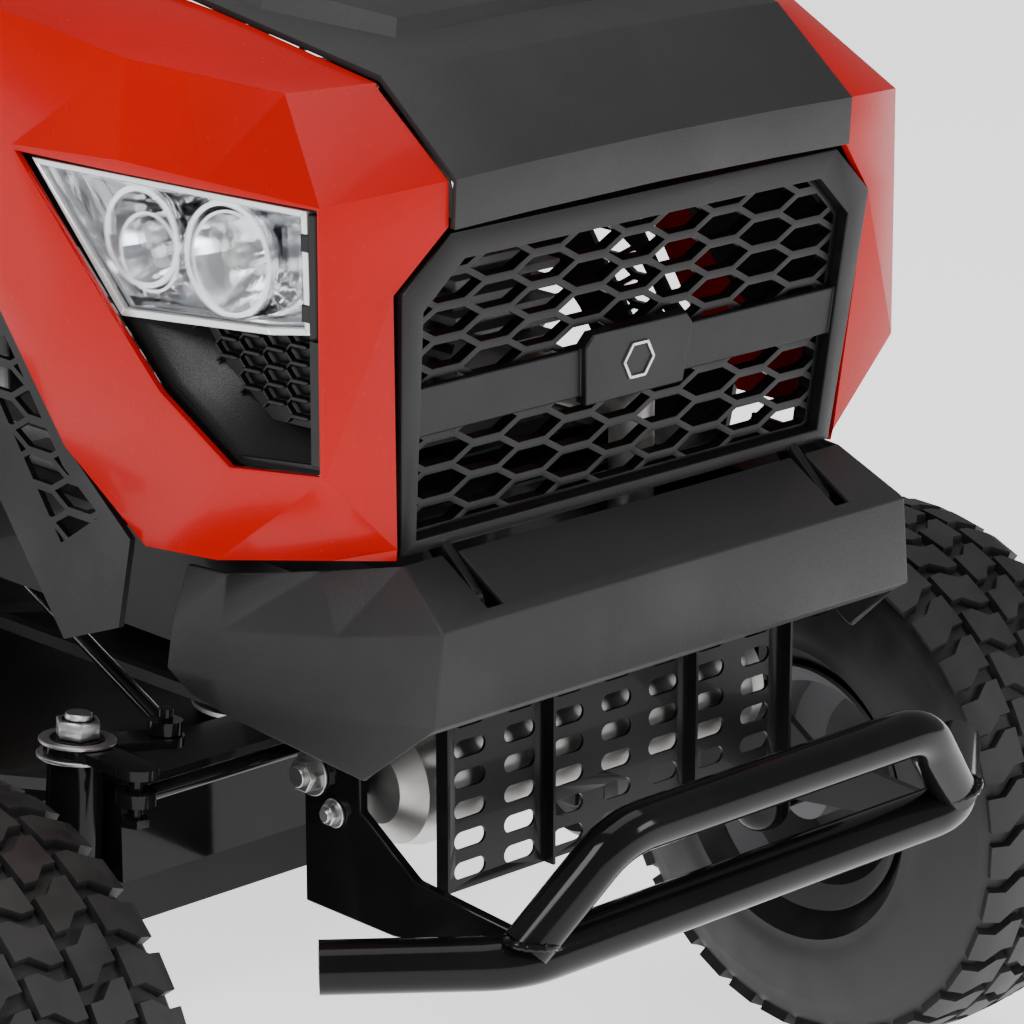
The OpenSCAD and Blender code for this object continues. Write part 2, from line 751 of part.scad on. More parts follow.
module fender_body() {
  y0 = fender_front_y;
  y1 = fender_rear_y;
  skirt = 58;
  path = [[y0, floor_z + 14], [y0 + 18, fender_z - 50], [y0 + 34, fender_z - 14], [y0 + 66, fender_z],
          [y1 - 60, fender_z], [y1 - 14, fender_z - 12], [y1, fender_z - skirt]];
  side = concat(path, [[y0 + 60, fender_z - skirt], [y0 + 28, fender_z - skirt - 20],
                       [y0 + 10, floor_z + 14]]);
  color(red) placed() {
    difference() {
      union() {
        yz_plate(concat(path, backwards(band_in(path, panel_t))), -fender_out, 2 * fender_out);
        both() yz_plate(side, fender_out - panel_t, panel_t);
      }
      translate([70, rear_axle_y + 110, fender_z - 40]) cylinder(d = neck_d + 2, h = 80);
      translate([-rail_out - 2, y0 - 2, floor_z]) cube([2 * rail_out + 4, 58, rail_top - floor_z + 4]);
    }
    both() for (y = [y0 + 150, y1 - 110]) translate([rail_in + 6, y, rail_top + seat_gap])
      cube([24, 30, fender_z - panel_t - rail_top + 0.5]);
  }
}

module foot_platforms() {
  y0 = pedal_y - 60;
  y1 = fender_front_y - 2;
  inner = rail_out + 5;
  color(steel_black) placed() both() {
    yz_plate([[y0 - 85, floor_z + 100], [y0, floor_z], [y1, floor_z], [y1, floor_z + 4],
              [y0 + 2, floor_z + 4], [y0 - 82, floor_z + 103]], inner, fender_out - inner);
    for (y = platform_bar_ys) translate([platform_half - 60, y + 4, floor_z - 2 + seat_gap])
      cube([30, 16, 2]);
  }
}

// ---------- Hood ----------
function hood_grid() = let (w = nose_x, b = hood_rear_y, h = hood_rear_z) [
  [[161.6, 119, 771], [162.5, 116.5, 768.5], [161.5, 59, 725], [160.5, 60, 699],
   [193, 70, 663], [180.5, 82.5, 510], [180, 84, 503]],
  [[164, 150, 777], [205, 146, 767], [w, 85, 716.5], [w, 84.8, 690],
   [w, 84.4, 660], [w, 83.6, 561.7], [202, 114, 501]],
  [[168, 215, 789], [w - 5, 205, 774], [w + 13, 170, 720], [w + 14, 165, 690],
   [w + 14, 162, 650], [w + 12, 153, 555], [w + 8, 170, 497]],
  [[170, 250, 795], [w + 9, 242, 778], [w + 21, 235, 722], [w + 22, 228, 690],
   [w + 22, 222, 650], [w + 19, 206, 590], [w + 15, 226, 494]],
  [[172, 290, 800], [w + 20, 304, 790], [w + 29, 324, 718], [w + 29, 318, 700],
   [w + 28, 305, 660], [w + 27, 296, 600], [w + 26, 286, 544]],
  [[175, 400, 815], [w + 26, 400, 801], [w + 32, 400, 740], [w + 32, 395, 722],
   [w + 32, 380, 700], [w + 31, 365, 672], [w + 30, 341, 619]],
  [[178, 520, 831], [w + 29, 520, 814], [w + 33, 520, 762], [w + 33, 515, 746],
   [w + 33, 500, 732], [w + 33, 480, 718], [w + 33, 442, 702]],
  [[185, b, h], [w + 31, b, h - 20], [w + 34, b, h - 70], [w + 34, b, h - 95],
   [w + 34, b, h - 115], [w + 34, b, h - 135], [w + 34, b, h - 157]]
];
recess = [[238, 715], [2, 715], [2, 563], [68, 557], [121, 592]];
module hood_shell() {
  color(red) placed() both() difference() {
    sheet(hood_grid(), panel_t);
    side_plane() translate([0, 0, -26]) linear_extrude(80) polygon(recess);
  }
}

scoop_base = [[-118, 152], [118, 152], [158, 226], [162, 560], [110, 620], [-110, 620],
              [-162, 560], [-158, 226]];
function panel_z(y) = y < 270 ? 771 + (y - 119) * 0.179 : 798 + (y - 270) * (hood_rear_z - 798) / (hood_rear_y - 270);
module hood_panel() {
  g0 = 160.5;
  rows = [[59.5, 698, g0], [57, 724, g0], [118, 771.5, g0], [270, 798, 171], [hood_rear_y, hood_rear_z, 184]];
  g = [for (r = rows) [[-r[2] + seat_gap * 2, r[0], r[1]], [-100, r[0], r[1] + 1.5], [0, r[0], r[1] + 2.5],
                       [100, r[0], r[1] + 1.5], [r[2] - seat_gap * 2, r[0], r[1]]]];
  color(black) placed() {
    sheet(g, -panel_t);
    hull() {
      for (p = scoop_base) translate([p[0], p[1], panel_z(p[1]) - 1]) cube([0.5, 0.5, 1]);
      for (p = scoop_base)
        translate([p[0] * 0.86, p[1] + (p[1] < 400 ? 16 : -60), panel_z(p[1]) + 15]) cube([0.5, 0.5, 1]);
    }
  }
}

// Hinge ear under the grille, bored for the frame's pin
module hood_ear() {
  translate([rail_in - 9, 0, 0]) rotate([90, 0, 90]) linear_extrude(6) difference() {
    union() {
      translate(hood_axis) circle(r = 8);
      translate(hood_axis) polygon([[-5, 6], [23, 31], [38, 31], [36, 24], [6, -5]]);
    }
    translate(hood_axis) circle(r = hood_pin_r + run_gap);
  }
}
badge_z = 84;
module grille_frame() {
  color(black) placed() {
    grille_plane() translate([0, 0, -22]) linear_extrude(22) difference() {
      polygon(hex_outline([for (p = grille_half) p - [3.2, 0]]));
      polygon(hex_outline(grille_open));
    }
    both() hood_ear();
    grille_plane() translate([0, 0, -8 + seat_gap]) {
      linear_extrude(5) polygon([[-172, badge_z - 14], [172, badge_z - 14], [172, badge_z + 16],
                                 [-172, badge_z + 16]]);
      linear_extrude(9) polygon([[-40, badge_z - 19], [40, badge_z - 19], [44, badge_z + 18],
                                 [38, badge_z + 25], [-38, badge_z + 25], [-44, badge_z + 18]]);
    }
  }
}

module mesh_plate() {
  translate([0, 0, -16]) linear_extrude(8) difference() {
    polygon(hex_outline([for (p = grille_open) p - [seat_gap, 0]]));
    intersection() {
      polygon(hex_outline([[162, 11], [169, 145], [141, 171]]));
      translate([0, 95]) mesh_holes(5, 5);
    }
  }
}

// Open box behind a lamp, which closes the recess in the hood's side
module lamp_box() {
  outer = [[234, 714.3], [2.6, 714.3], [2.6, 563.7], [67.8, 557.8], [120, 592.2]];
  difference() {
    translate([0, 0, -44]) linear_extrude(40) polygon(outer);
    translate([0, 0, -41.5]) linear_extrude(60) polygon([for (p = outer) p * 0.965 + [4.5, 23.6]]);
  }
}

module grille_inserts() {
  color(black) placed() {
    grille_plane() mesh_plate();
    both() side_plane() lamp_box();
  }
}

lens = [[218, 711], [11, 714], [9, 643], [39, 638], [150, 629]];
module headlight_lenses() {
  color("#e8f0f4", 0.5) placed() both() side_plane() translate([0, 0, -4 + seat_gap])
    linear_extrude(3) polygon(lens);
}

module bowl(u, v, r, depth) {
  translate([u, v, -6 - depth]) rotate_extrude($fn = 48) polygon([
    [0, 0], [r * 0.5, depth * 0.18], [r * 0.8, depth * 0.5], [r, depth - 1], [r + 1.6, depth - 1],
    [r * 0.8 + 1.4, depth * 0.5 - 1.4], [r * 0.5 + 1, depth * 0.18 - 1.8], [0, -2]]);
}
module headlight_reflectors() {
  color(silver) placed() both() side_plane() {
    translate([0, 0, -40]) linear_extrude(2) polygon([for (p = lens) p * 0.97 + [3, 17.5]]);
    bowl(140, 668, 22, 34);
    bowl(75, 672, 29, 34);
    for (p = [[140, 668], [75, 672]]) translate([p[0], p[1], -40]) cylinder(d = 9, h = 24);
  }
}

// ---------- Front axle ----------
module kingpin(s) {
  translate([s * kp_x, front_axle_y, kp_z]) rotate([0, -s * kingpin_lean, 0]) children();
}
module front_axle() {
  color(steel_black) placed() difference() {
    union() {
      translate([-kp_x + 12, front_axle_y - beam_d / 2, beam_z - beam_h / 2])
        cube([2 * kp_x - 24, beam_d, beam_h]);
      for (s = [-1, 1]) kingpin(s) translate([0, 0, -kp_tube_l - 3])
        cylinder(d = kp_tube_d, h = kp_tube_l);
      translate([0, front_axle_y - beam_d / 2 - hanger_gap + 1, beam_z]) rotate([-90, 0, 0])
        cylinder(d = 44, h = beam_d + 2 * hanger_gap - 2);
    }
    for (s = [-1, 1]) kingpin(s) translate([0, 0, -kp_tube_l - 40])
      cylinder(r = kingpin_d / 2 + run_gap, h = kp_tube_l + 80);
    translate([0, front_axle_y - 60, beam_z]) rotate([-90, 0, 0])
      cylinder(r = pivot_d / 2 + run_gap, h = 120);
  }
}

arm_t = 6;
stud_l = 26;
module arm_plate() {
  linear_extrude(arm_t) difference() {
    union() {
      circle(d = 40);
      translate([0, -arm_r]) circle(d = 26);
      translate([-12, -arm_r]) square([24, arm_r]);
    }
  }
}
module knuckle(s) {
  drop_x = s * (kp_x + 3);
  color("#2a2a2c") placed() {
    kingpin(s) {
      translate([0, 0, -kp_tube_l - 22]) cylinder(d = kingpin_d, h = kp_tube_l + 22 + 20);
      translate([0, 0, 0]) arm_plate();
      translate([0, 0, arm_t]) cylinder(d = 32, h = 3);
      translate([0, 0, arm_t + 3]) cylinder(d = 26, h = 10, $fn = 6);
      translate([0, -arm_r, -stud_l]) cylinder(d = stud_d, h = stud_l + 1);
      translate([0, -arm_r, -stud_l - 4]) cylinder(d = 18, h = 5, $fn = 6);
      translate([0, 0, -kp_tube_l - 6]) mirror([0, 0, 1]) cylinder(d = 38, h = 20);
    }
    bar([s * (kp_x + 9), front_axle_y, kp_z - kp_tube_l - 14], [s * (kp_x + 14), front_axle_y, front_wheel_z], 38);
    translate([s * (kp_x + 14), front_axle_y, front_wheel_z]) sphere(d = 40);
    translate([s * (kp_x + 10), front_axle_y, front_wheel_z]) rotate([0, s * 90, 0])
      cylinder(d = stub_d, h = front_wheel_x + 66 - kp_x - 10);
    if (s < 0) kingpin(s) {
      linear_extrude(arm_t) rotate(link_angle) translate([-11, -arm_r]) square([22, arm_r]);
      linear_extrude(arm_t) rotate(link_angle) translate([0, -arm_r]) circle(d = 24);
      rotate(link_angle) translate([0, -arm_r, arm_t - 1]) cylinder(d = stud_d, h = 17);
    }
  }
}

// Flat eye on a rod's end
module eye(p, tilt, bore_r, t) {
  translate(p) rotate([0, tilt, 0]) translate([0, 0, -t / 2]) difference() {
    cylinder(r = bore_r + 6, h = t);
    translate([0, 0, -1]) cylinder(r = bore_r, h = t + 2);
  }
}
eye_t = 8;
tie_drop = 13;
function stud_at(s, drop) = [s * (kp_x + drop * sin(kingpin_lean)), front_axle_y - arm_r, kp_z - drop * cos(kingpin_lean)];
module tie_rod() {
  l = stud_at(1, tie_drop);
  r = stud_at(-1, tie_drop);
  inner = stud_d / 2 + run_gap;
  loose = stud_d / 2 + eye_clear;
  color(steel_black) placed() {
    eye(l, -kingpin_lean, inner, eye_t);
    eye(r, kingpin_lean, loose, eye_t);
    bar(r + [loose + 4, 0, 0], l - [inner + 4, 0, 0], link_d);
  }
}

link_front = [-kp_x + arm_r * sin(link_angle) * cos(kingpin_lean) + 11 * sin(kingpin_lean),
              front_axle_y - arm_r * cos(link_angle),
              kp_z + 11 - arm_r * sin(link_angle) * sin(kingpin_lean)];
link_rear = [sector_x + arm_r * sin(link_angle), pinion_y - arm_r * cos(link_angle), link_front[2]];
link_eye = 11.5;
module drag_link() {
  v = unit(link_rear - link_front);
  inner = stud_d / 2 + run_gap;
  color(steel_black) placed() {
    eye(link_front, kingpin_lean, inner, eye_t);
    eye(link_rear, 0, link_eye, eye_t);
    bar(link_front + v * (inner + 4), link_rear - v * (link_eye + 4), link_d);
  }
}

// Involute outline of one gear
function inv_point(rb, a) = rb * [cos(a) + a * PI / 180 * sin(a), sin(a) - a * PI / 180 * cos(a)];
function turn2(p, a) = [p[0] * cos(a) - p[1] * sin(a), p[0] * sin(a) + p[1] * cos(a)];
function flank(n, m, steps) =
  let (rp = n * m / 2, rb = rp * cos(20), ra = rp + 0.72 * m, rf = rp - 1.15 * m)
  let (top = acos(rb / ra) , a1 = tan(top) * 180 / PI)
  let (pa = tan(20) * 180 / PI - 20)
  let (half = 90 / n - 0.18 * 90 / n + pa)
  concat([turn2([max(rf, 1), 0], -half)],
         [for (i = [0 : steps]) let (q = inv_point(rb, max(a1 * i / steps, rf > rb ? sqrt(rf * rf / rb / rb - 1) * 180 / PI : 0)))
           turn2(q, -half)]);
module gear_2d(n, m, first, last) {
  f = flank(n, m, 4);
  polygon([for (k = [first : last]) for (h = [0, 1])
    let (side = h == 0 ? f : [for (i = [len(f) - 1 : -1 : 0]) [f[i][0], -f[i][1]]])
    for (p = side) turn2(p, k * 360 / n)]);
}
sector_half = 8;
module steering_sector() {
  color("#6d7073") placed() {
    translate([sector_x, pinion_y, sector_z]) difference() {
      union() {
        linear_extrude(sector_t) intersection() {
          gear_2d(sector_teeth, gear_module, 0, sector_teeth - 1);
          polygon([[0, 0], [200 * cos(42.5), 200 * sin(42.5)], [220, 0], [200 * cos(42.5), -200 * sin(42.5)]]);
        }
        cylinder(d = 36, h = sector_t);
        rotate(link_angle - 90) translate([arm_r, 0, -34]) cylinder(d = stud_d, h = 35);
        rotate(link_angle - 90) translate([arm_r, 0, -2]) cylinder(d = 20, h = 3);
      }
      translate([0, 0, -1]) cylinder(r = sector_pin_d / 2 + run_gap, h = sector_t + 2);
    }
  }
}

yoke_r = 15;
ball_r = 8.5;
ball_arc = [for (a = [-65 : 13 : 65]) ball_r * [cos(a), sin(a)]];
module yoke(turn) {
  rotate(turn) {
    translate([0, 0, -30]) cylinder(r = yoke_r, h = 8);
    for (s = [-1, 1]) translate([s * 12 - 3, -5, -23]) cube([6, 10, 30]);
  }
}
module steering_shaft() {
  color("#6d7073") placed() translate([0, pinion_y, 0]) {
    translate([0, 0, sector_z - 3]) linear_extrude(sector_t + 6)
      rotate(180 / pinion_teeth + 180) gear_2d(pinion_teeth, gear_module, 0, pinion_teeth - 1);
    translate([0, 0, sector_z - 3]) cylinder(d = shaft_d, h = joint_z - 22 - sector_z + 3);
    translate([0, 0, joint_z]) yoke(0);
    translate([0, 0, joint_z]) turned_x(concat([[0, -12], [3.5, -12]], ball_arc, [[3.5, 12], [0, 12]]));
  }
}
module steering_wheel() {
  rim_d = 26;
  r = steering_wheel_d / 2 - rim_d / 2;
  color(black) placed() column_axis() {
    mirror([0, 0, 1]) yoke(90);
    translate([0, 0, 22]) cylinder(d = shaft_d, h = column_l - 30);
    translate([0, 0, column_l]) rotate_extrude($fn = 96) translate([r, 0]) circle(d = rim_d, $fn = 32);
    translate([0, 0, column_l - 40]) cylinder(d1 = 56, d2 = 90, h = 36);
    for (a = [90, 210, 330]) rotate(a) translate([30, -16, column_l - 12]) cube([r - 30, 32, 10]);
  }
}

// ---------- Wheels ----------
function tyre_profile(w, d, rim) =
  let (h = w / 2, ro = d / 2, ri = rim / 2, t = 9)
  [[ri, -h * 0.62], [ri + 14, -h * 0.8], [(ro + ri) / 2, -h], [ro - 22, -h * 0.97], [ro - 6, -h * 0.86],
   [ro, -h * 0.7], [ro, h * 0.7], [ro - 6, h * 0.86], [ro - 22, h * 0.97], [(ro + ri) / 2, h],
   [ri + 14, h * 0.8], [ri, h * 0.62], [ri, h * 0.62 - t], [ri + 12, h * 0.62 - t], [(ro + ri) / 2, h - t],
   [ro - 20, h * 0.8 - 2], [ro - t - 4, h * 0.6], [ro - t - 4, -h * 0.6], [ro - 20, -h * 0.8 + 2],
   [(ro + ri) / 2, -h + t], [ri + 12, -h * 0.62 + t], [ri, -h * 0.62 + t]];
module tyre(x, y, z, w, d, rim) {
  color(rubber) placed() translate([x, y, z]) turned_x([for (p = tyre_profile(w, d, rim)) p]);
}
// Rim: barrel with flanges, a dished disc and a hub bored for its shaft
module rim(s, x, y, z, w, d, bore_r, hub_in, hub_out) {
  ri = d / 2 - seat_gap;
  t = 3;
  bead = w / 2 * 0.62 + 0.5;
  slope = w / 2 * 0.18 / 14;
  lip = bead + 12 * slope;
  color("#3a3c40") placed() translate([x, y, z]) scale_x(s) turned_x([
    [bore_r, hub_in], [bore_r + 13, hub_in], [bore_r + 13, 6], [ri - 26, 14], [ri - t, 6],
    [ri - t, 1 - bead], [ri + 11, 1 - lip - 4], [ri + 12, -lip], [ri, -bead], [ri, bead],
    [ri + 12, lip], [ri + 11, lip + 3], [ri - t, bead - 1], [ri - t, 12], [ri - 26, 20],
    [bore_r + 13, 12], [bore_r + 13, hub_out], [bore_r, hub_out]]);
}
module scale_x(s) {
  mirror([s < 0 ? 1 : 0, 0, 0]) children();
}
module front_rim(s) {
  rim(s, s * front_wheel_x, front_axle_y, front_wheel_z, front_tyre_w, front_rim_d,
      stub_d / 2 + run_gap, -60, 55);
}
module rear_rim(s) {
  rim(s, s * rear_wheel_x, rear_axle_y, rear_wheel_z, rear_tyre_w, rear_rim_d,
      rear_shaft_d / 2 + run_gap, -50, 45);
  color(silver) placed() translate([s * 90, rear_axle_y, rear_wheel_z]) rotate([0, s * 90, 0])
    cylinder(d = rear_shaft_d, h = rear_wheel_x + 60 - 90);
}

// ---------- Deck ----------
module deck_outline(inset) {
  for (s = [-1, 1]) translate([s * spindle_x, deck_y]) circle(r = lobe_r - inset, $fn = 96);
  translate([-spindle_x, deck_y - lobe_r + inset]) square([2 * spindle_x, 1.4 * lobe_r]);
}
chute_y = [deck_y - 120, deck_y + 120];
module deck_shell() {
  color(red) placed() {
    difference() {
      union() {
        translate([0, 0, cut_z]) linear_extrude(deck_h) deck_outline(0);
        translate([-chute_x, chute_y[0], cut_z + 20])
          cube([chute_x - spindle_x, chute_y[1] - chute_y[0], deck_h - 20]);
        both() translate([gauge_x - 10, gauge_y, gauge_z + gauge_r + 14]) cube([20, 90, 4]);
      }
      translate([0, 0, cut_z - 1]) linear_extrude(deck_h - deck_t + 1) deck_outline(deck_t);
      translate([-chute_x - 1, chute_y[0] + deck_t, cut_z - 1])
        cube([chute_x - spindle_x, chute_y[1] - chute_y[0] - 2 * deck_t, deck_h - deck_t + 1]);
      for (s = [-1, 1]) translate([s * spindle_x, deck_y, cut_z])
        cylinder(r = spindle_shaft_d / 2 + run_gap, h = 300);
    }
    for (s = [-1, 1]) translate([s * spindle_x, deck_y, deck_top - deck_t - 14]) difference() {
      cylinder(d = 96, h = 14 + deck_t + 20);
      translate([0, 0, -1]) cylinder(r = spindle_shaft_d / 2 + run_gap, h = 60);
    }
    both() deck_hanger();
    both() guide_plate();
    for (s = [-1, 1]) gauge_fork(s);
    for (y = [chute_y[0] + 14, chute_y[1] - 26])
      translate([-hinge_x, y, deck_top - 2]) rotate([-90, 0, 0]) difference() {
        union() {
          cylinder(r = hinge_rod_r + 4, h = 12);
          translate([0, -2, 0]) cube([16, 4, 12]);
        }
        translate([0, 0, -1]) cylinder(r = hinge_rod_r + run_gap, h = 14);
      }
  }
}
spindle_shaft_d = 20;
slot_r = 6.4;
module deck_hanger() {
  y = lift_ys[1] - lift_arm;
  translate([hanger_x - 2.5, 0, 0]) rotate([90, 0, 90]) linear_extrude(5) difference() {
    translate([y - 16, deck_top - 1]) square([36, lift_z - deck_top + 18]);
    translate([y - 1, lift_z]) circle(r = slot_r);
    translate([y + 10, lift_z]) circle(r = slot_r);
    translate([y - 1, lift_z - slot_r]) square([11, 2 * slot_r]);
  }
}
guide_up = 32;
guide_down = 42;
module guide_plate() {
  translate([hanger_x - 2.5, 0, 0]) rotate([90, 0, 90]) linear_extrude(5) difference() {
    translate([guide_y - 14, deck_top - 1]) square([28, lift_z - deck_top + guide_up + 16]);
    translate([guide_y, lift_z + guide_up]) circle(r = slot_r);
    translate([guide_y, lift_z - guide_down]) circle(r = slot_r);
    translate([guide_y - slot_r, lift_z - guide_down]) square([2 * slot_r, guide_up + guide_down]);
  }
}
gauge_r = 45;
gauge_w = 40;
gauge_x = spindle_x + 183;
gauge_y = deck_y - lobe_r + 4;
gauge_z = gauge_r + 34;
gauge_pin_d = 12;
module gauge_fork(s) {
  half = gauge_w / 2 + 3;
  translate([s * gauge_x, gauge_y, 0]) {
    {
      for (q = [-1, 1]) translate([q * (half + 2) - 2, -14, gauge_z - 14]) cube([4, 28, gauge_r + 32]);
      translate([-half - 4, -14, gauge_z + gauge_r + 14]) cube([2 * half + 8, 28, 4]);
      translate([-half - 12, 0, gauge_z]) rotate([0, 90, 0]) cylinder(d = gauge_pin_d, h = 2 * half + 24);
    }
  }
}
module gauge_wheel(s) {
  color("#202022") placed() translate([s * gauge_x, gauge_y, gauge_z]) turned_x([
    [gauge_pin_d / 2 + run_gap, -gauge_w / 2], [20, -gauge_w / 2], [24, -gauge_w / 2 + 6],
    [gauge_r - 14, -gauge_w / 2 + 6], [gauge_r - 6, -gauge_w / 2], [gauge_r, -gauge_w / 2 + 8],
    [gauge_r, gauge_w / 2 - 8], [gauge_r - 6, gauge_w / 2], [gauge_r - 14, gauge_w / 2 - 6],
    [24, gauge_w / 2 - 6], [20, gauge_w / 2], [gauge_pin_d / 2 + run_gap, gauge_w / 2]]);
}
module spindle(s) {
  color(silver) placed() translate([s * spindle_x, deck_y, 0]) {
    translate([0, 0, blade_z + 8]) cylinder(d = spindle_shaft_d, h = deck_belt_z + 14 - blade_z - 8);
    translate([0, 0, blade_z + 5 + seat_gap]) cylinder(d = 46, h = 20);
    translate([0, 0, blade_z - 14]) cylinder(d = 12, h = 30);
    translate([0, 0, blade_z - 12]) cylinder(d = 30, h = 12 - seat_gap, $fn = 6);
    translate([0, 0, deck_belt_z]) pulley(pulley_r, spindle_shaft_d / 2 - 1);
  }
}
module blade(s) {
  color(steel_black) placed() translate([s * spindle_x, deck_y, blade_z]) rotate(90) difference() {
    union() {
      translate([-blade_r + 4, -28, 0]) cube([2 * blade_r - 8, 56, 5]);
      for (q = [0, 180]) rotate(q) translate([blade_r - 90, 10, 4]) rotate([28, 0, 0]) cube([76, 22, 4]);
    }
    translate([0, 0, -1]) cylinder(r = 6 + bolt_gap, h = 8);
  }
}
module deflector() {
  color(black) placed() translate([-hinge_x, 0, deck_top - 2]) {
    difference() {
      union() {
        rotate([0, -deflector_drop, 0]) translate([-deflector_l, chute_y[0] + 6, 2.5])
          cube([deflector_l - 8, chute_y[1] - chute_y[0] - 12, 4]);
        rotate([0, -deflector_drop, 0]) for (y = [chute_y[0] + 40, (chute_y[0] + chute_y[1]) / 2, chute_y[1] - 56])
          translate([-12, y, -2]) cube([12, 16, 7]);
        for (y = [chute_y[0] + 40, (chute_y[0] + chute_y[1]) / 2, chute_y[1] - 56])
          translate([0, y, 0]) rotate([-90, 0, 0]) cylinder(r = hinge_rod_r + 4, h = 16);
        rotate([0, -deflector_drop, 0]) for (y = [chute_y[0] + 6, chute_y[1] - 10])
          translate([-deflector_l, y, -40]) cube([deflector_l - 40, 4, 44]);
      }
    }
    translate([0, chute_y[0] + 8, 0]) rotate([-90, 0, 0])
      cylinder(r = hinge_rod_r, h = chute_y[1] - chute_y[0] - 16);
  }
}

// ---------- Lift, seat, controls ----------
lever_x = rail_out + 34;
module lift_shaft() {
  y = lift_ys[1];
  color(steel_black) placed() {
    translate([-lever_x - 8, y, lift_z]) rotate([0, 90, 0]) cylinder(d = lift_rod_d, h = lever_x + 8 + rail_in + 12);
    both() lift_crank(y);
    bent_bar([[-lever_x, y, lift_z], [-lever_x, y + 40, lift_z + 120], [-lever_x - 24, y + 96, lift_z + 262]], 14);
    bar([-lever_x - 22, y + 91, lift_z + 250], [-lever_x - 38, y + 130, lift_z + 345], 30);
  }
}
module lift_crank(y) {
  x0 = hanger_x + 2.5 + 0.5;
  translate([x0, y - lift_arm, lift_z - 9]) cube([6, lift_arm, 18]);
  translate([x0, y - lift_arm, lift_z]) rotate([0, 90, 0]) cylinder(d = 18, h = 6);
  translate([x0 - 12, y - lift_arm, lift_z]) rotate([0, 90, 0]) cylinder(r = lift_pin_r, h = 14);
}

seat_y0 = rear_axle_y - 280;
seat_y1 = seat_y0 + 400;
pan_z = fender_z + 48;
module seat_pan() {
  color(black) placed() {
    translate([-seat_w / 2 + 30, seat_y0 + 20, pan_z]) cube([seat_w - 60, seat_y1 - seat_y0 - 30, 8]);
    translate([-seat_w / 2 + 50, seat_y1 + 8, pan_z]) rotate([-14, 0, 0]) cube([seat_w - 100, 8, back_h - 30]);
    translate([-seat_w / 2 + 50, seat_y1 - 12, pan_z]) cube([seat_w - 100, 28, 8]);
    both() translate([60, seat_y0 + 60, fender_z + seat_gap]) cube([14, 40, pan_z - fender_z + 2]);
    both() translate([60, seat_y1 - 90, fender_z + seat_gap]) cube([14, 40, pan_z - fender_z + 2]);
  }
}
module seat_cushion() {
  color("#1d1d1f") placed() hull() {
    translate([-seat_w / 2 + 20, seat_y0 + 20, pan_z + 8 + seat_gap]) cube([seat_w - 40, seat_y1 - seat_y0 - 50, 1]);
    translate([-seat_w / 2, seat_y0, pan_z + 34]) cube([seat_w, seat_y1 - seat_y0 - 20, 26]);
    translate([-seat_w / 2 + 24, seat_y0 + 24, pan_z + 84]) cube([seat_w - 48, seat_y1 - seat_y0 - 60, 1]);
  }
}
module seat_back() {
  color("#1d1d1f") placed() translate([0, seat_y1 + 8, pan_z]) rotate([-14, 0, 0]) hull() {
    translate([-seat_w / 2 + 20, -10 - seat_gap, 70]) cube([seat_w - 40, 10, back_h - 60]);
    translate([-seat_w / 2 + 2, -50, 86]) cube([seat_w - 4, 22, back_h - 90]);
    translate([-seat_w / 2 + 34, -76, 110]) cube([seat_w - 68, 8, back_h - 140]);
  }
}

module pedal_hub(s) {
  translate([s * (rail_out + 6), pedal_y, pedal_z]) rotate([0, s * 90, 0]) difference() {
    cylinder(d = 30, h = 50);
    translate([0, 0, -1]) cylinder(r = pedal_pin_d / 2 + run_gap, h = 52);
  }
}
module brake_pedal() {
  color(steel_black) placed() {
    pedal_hub(1);
    bent_bar([[rail_out + 48, pedal_y - 16, pedal_z + 4], [rail_out + 90, pedal_y - 90, pedal_z + 24],
              [rail_out + 150, pedal_y - 100, pedal_z + 28]], 14);
    translate([rail_out + 100, pedal_y - 122, pedal_z + 6]) rotate([50, 0, 0]) cube([100, 60, 8]);
  }
}
module drive_pedal() {
  color(steel_black) placed() {
    pedal_hub(-1);
    bent_bar([[-rail_out - 44, pedal_y - 16, pedal_z + 2], [-rail_out - 110, pedal_y - 70, pedal_z + 4]], 12);
    bent_bar([[-rail_out - 44, pedal_y + 16, pedal_z + 2], [-rail_out - 110, pedal_y + 60, pedal_z - 16]], 12);
    translate([-rail_out - 170, pedal_y - 100, pedal_z - 10]) rotate([30, 0, 0]) cube([80, 60, 8]);
    translate([-rail_out - 170, pedal_y + 44, pedal_z - 22]) rotate([-10, 0, 0]) cube([80, 46, 8]);
  }
}
module throttle_lever() {
  color(black) placed() translate(throttle) {
    translate([0, 0, -12]) rotate([0, 90, 0]) cylinder(d = 20, h = 5);
    translate([0, -4, -12]) cube([5, 8, 56]);
    translate([-5, -9, 40]) cube([15, 18, 16]);
  }
}
module ignition_key() {
  color(silver) placed() translate(key) {
    translate([0, 0, -14]) cylinder(r = 8, h = 20);
    translate([-2, -12, 5]) cube([4, 24, 22]);
  }
}
module pto_knob() {
  color("#e0b020") placed() translate(pto) {
    translate([0, 0, -14]) cylinder(r = 6, h = 26);
    translate([0, 0, 6]) cylinder(d1 = 22, d2 = 30, h = 14);
  }
}

frame();
frame_rails();
front_bumper();
brush_guard();
heat_shield();
muffler();
chassis_bolts();
side_panels();
engine_block();
blower_housing();
battery();
fuel_tank();
fuel_cap();
transaxle();
drive_belt();
dashboard();
fender_body();
foot_platforms();
hood_shell();
hood_panel();
grille_frame();
grille_inserts();
headlight_lenses();
headlight_reflectors();
front_axle();
knuckle(1);  // knuckle_left
knuckle(-1);  // knuckle_right
tie_rod();
drag_link();
steering_sector();
steering_shaft();
steering_wheel();
tyre(front_wheel_x, front_axle_y, front_wheel_z, front_tyre_w, front_tyre_d, front_rim_d);  // front_tyre_left
tyre(-front_wheel_x, front_axle_y, front_wheel_z, front_tyre_w, front_tyre_d, front_rim_d);  // front_tyre_right
front_rim(1);  // front_rim_left
front_rim(-1);  // front_rim_right
tyre(rear_wheel_x, rear_axle_y, rear_wheel_z, rear_tyre_w, rear_tyre_d, rear_rim_d);  // rear_tyre_left
